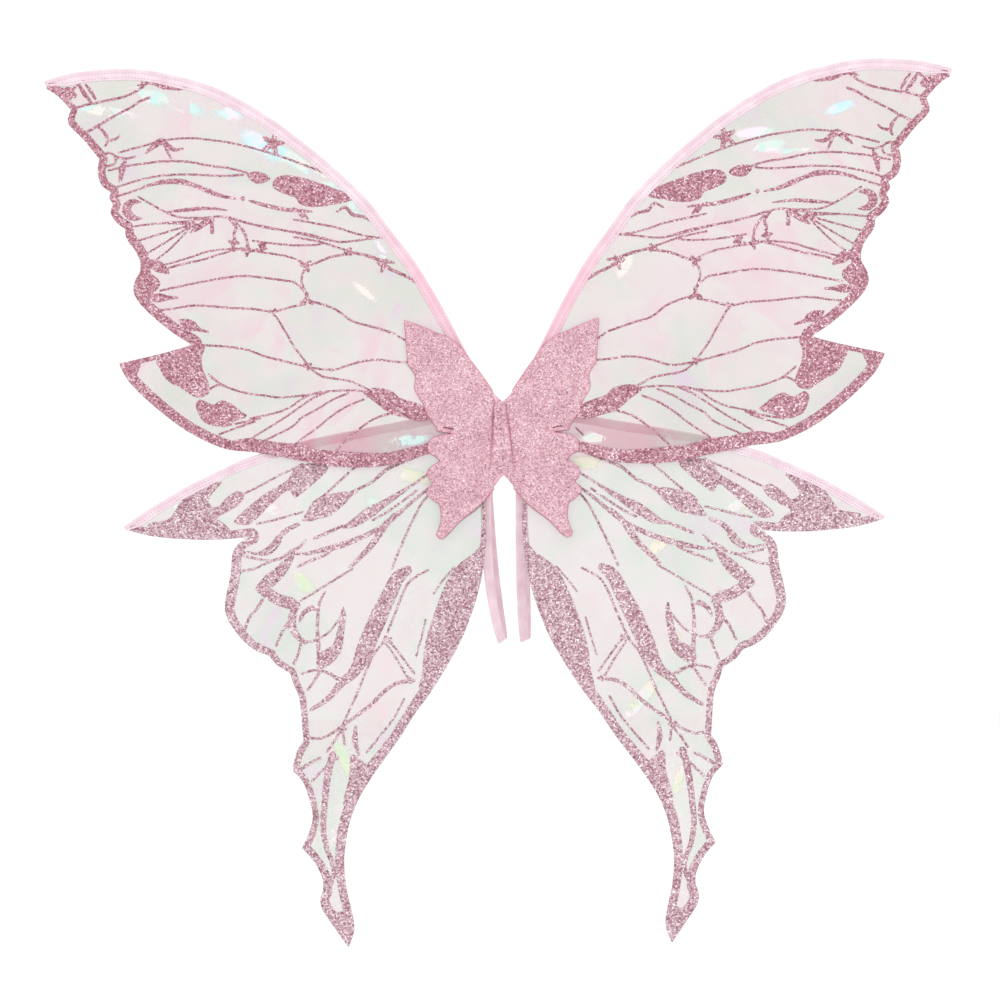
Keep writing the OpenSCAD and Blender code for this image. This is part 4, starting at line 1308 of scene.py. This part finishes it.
# ---- Arm loops ----
# Each arm loop is a length of flat knitted elastic, ribbed along its length. Both of its ends
# are sewn to the backing under a doubled tab, and it hangs in a long bend.
STRAP_X, STRAP_W, STRAP_T, STRAP_DROP, STRAP_LEAN = 17, 10.0, 1.2, 193.0, 34.0


def knitted_elastic(name, low, high):
    """Knitted elastic: ribs along the band, each a chain of small slanted loops. It reads the
    band's own lengths, across in its first direction and along in its second."""
    band = Material(name)
    cloth = band.node("UVMap", uv_map="cloth")["UV"]
    loops = band.node("TexWave", {"Vector": cloth, "Scale": 380.0, "Distortion": 1.6,
        "Detail": 1.0, "Detail Scale": 3.0}, bands_direction="Y")["Fac"]
    ribs = band.node("TexWave", {"Vector": cloth, "Scale": 220.0}, bands_direction="X")["Fac"]
    knit = band.math("MULTIPLY", loops, ribs)
    shade = band.math("MULTIPLY_ADD", knit, 0.4, band.noise(cloth, 60.0, 3.0))
    return band.finish({
        "Base Color": band.ramp(shade, [(0.35, low), (0.85, high)]),
        "Normal": band.bump(knit, 0.5, 0.0003),
        "Roughness": 0.75,
        "Sheen Weight": 0.35})


pink_elastic = knitted_elastic("pink_knitted_elastic", srgb(228, 196, 208),
    srgb(247, 224, 232))


def elastic_band(centre, normal, across, name, side):
    """A flat band along a centre line: a rounded oblong section, 10 by 1.2, whose faces are
    ribbed seven times across."""
    edge = np.linspace(-1, 1, 29)
    rib = 0.07 * np.cos(edge * np.pi * 7)
    half = STRAP_T / 2 * (1 - 0.55 * np.abs(edge) ** 8) - 0.07 + rib
    w = STRAP_W / 2 * edge
    ring = np.concatenate([np.stack([w, half], 1), np.stack([w, -half], 1)[::-1]])
    points = (centre[:, None] + across[:, None] * ring[None, :, :1]
        + normal[:, None] * ring[None, :, 1:]).reshape(-1, 3)
    return new_piece(name, points, tube_faces(len(centre), len(ring)), pink_elastic, side,
        uv=cloth_uv(ring[None, :, 0], run_of(centre)[:, None]))


# How each loop lies: drift of its bottom towards the middle, its twist there in degrees, and
# how far its two strands stand apart across
LOOP_LIE = {-1: (14.0, 38.0, 4.2), 1: (-2.0, -24.0, -3.0)}
for side, word in SIDES.items():
    u = np.radians(np.linspace(3, 357, 150))
    s = (1 - np.cos(u)) / 2
    drift, twist, apart = LOOP_LIE[side]
    y = 1.5 + STRAP_LEAN * s - (0.6 + STRAP_LEAN * s) * np.cos(u / 2)
    z = -STRAP_DROP * s
    x = STRAP_X - drift * s ** 3 + apart * np.sin(u) * s
    centre = np.stack([x, y, z], 1)
    tangent = unit(np.gradient(centre, axis=0))
    across = unit(np.array([[1.0, 0, 0]]) - tangent * tangent[:, :1])
    normal = np.cross(tangent, across)
    turn = np.radians(twist) * smoothstep(0.25, 1.0, s)[:, None]
    across, normal = (across * np.cos(turn) + normal * np.sin(turn),
        normal * np.cos(turn) - across * np.sin(turn))
    loop = elastic_band(centre, normal, across, f"arm_loop_{word}", side)
    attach(loop, f"strap_{word}")
    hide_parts(f"strap_loop_{word}")


# ---- Strap tabs ----
# The loop's two ends are laid together and sewn flat against the backing with a square of
# stitches.
for side, word in SIDES.items():
    t = np.linspace(0, 1, 24)
    round_in = np.sqrt(np.clip(1 - (2 * t - 1) ** 10, 0.02, 1))
    z = 1.5 + 20 * t
    edge = np.linspace(-1, 1, 33)
    rib = 0.06 * np.cos(edge * np.pi * 7)
    dip = 0.18 * np.exp(-((np.abs(edge) * 6 - 4.2) / 0.5) ** 2)
    half = 1.2 * (1 - 0.5 * np.abs(edge) ** 10) - 0.06 + rib
    ring = np.concatenate([np.stack([6 * edge, half - dip], 1),
        np.stack([6 * edge, -half], 1)[::-1]])
    x = STRAP_X + ring[None, :, 0] * (0.9 + 0.1 * round_in[:, None])
    y = 1.25 + ring[None, :, 1] * round_in[:, None]
    points = np.stack(np.broadcast_arrays(x, y, z[:, None]), -1).reshape(-1, 3)
    tab = new_piece(f"sewn_tab_{word}", points, tube_faces(len(t), len(ring), turned=True),
        pink_elastic, side, uv=cloth_uv(ring[None, :, 0], z[:, None]))
    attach(tab, f"wing_{word}")
    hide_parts(f"strap_tab_{word}")
    left, right, low, high = STRAP_X - 4.2, STRAP_X + 4.2, 3.4, 19.6
    corners = np.array([(left, low), (right, low), (right, high), (left, high), (left, low)])
    square = evenly(corners, 2.05)[0]
    points, faces = stitches(np.insert(square, 1, 2.25, 1),
        np.insert(np.gradient(square, axis=0), 1, 0, 1), (0.0, 1.0, 0.0), 1.7, 0.26)
    box_seam = new_piece(f"tab_seam_{word}", points, faces, dark_thread, side)
    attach(box_seam, f"wing_{word}")
    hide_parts(f"tab_stitching_{word}")
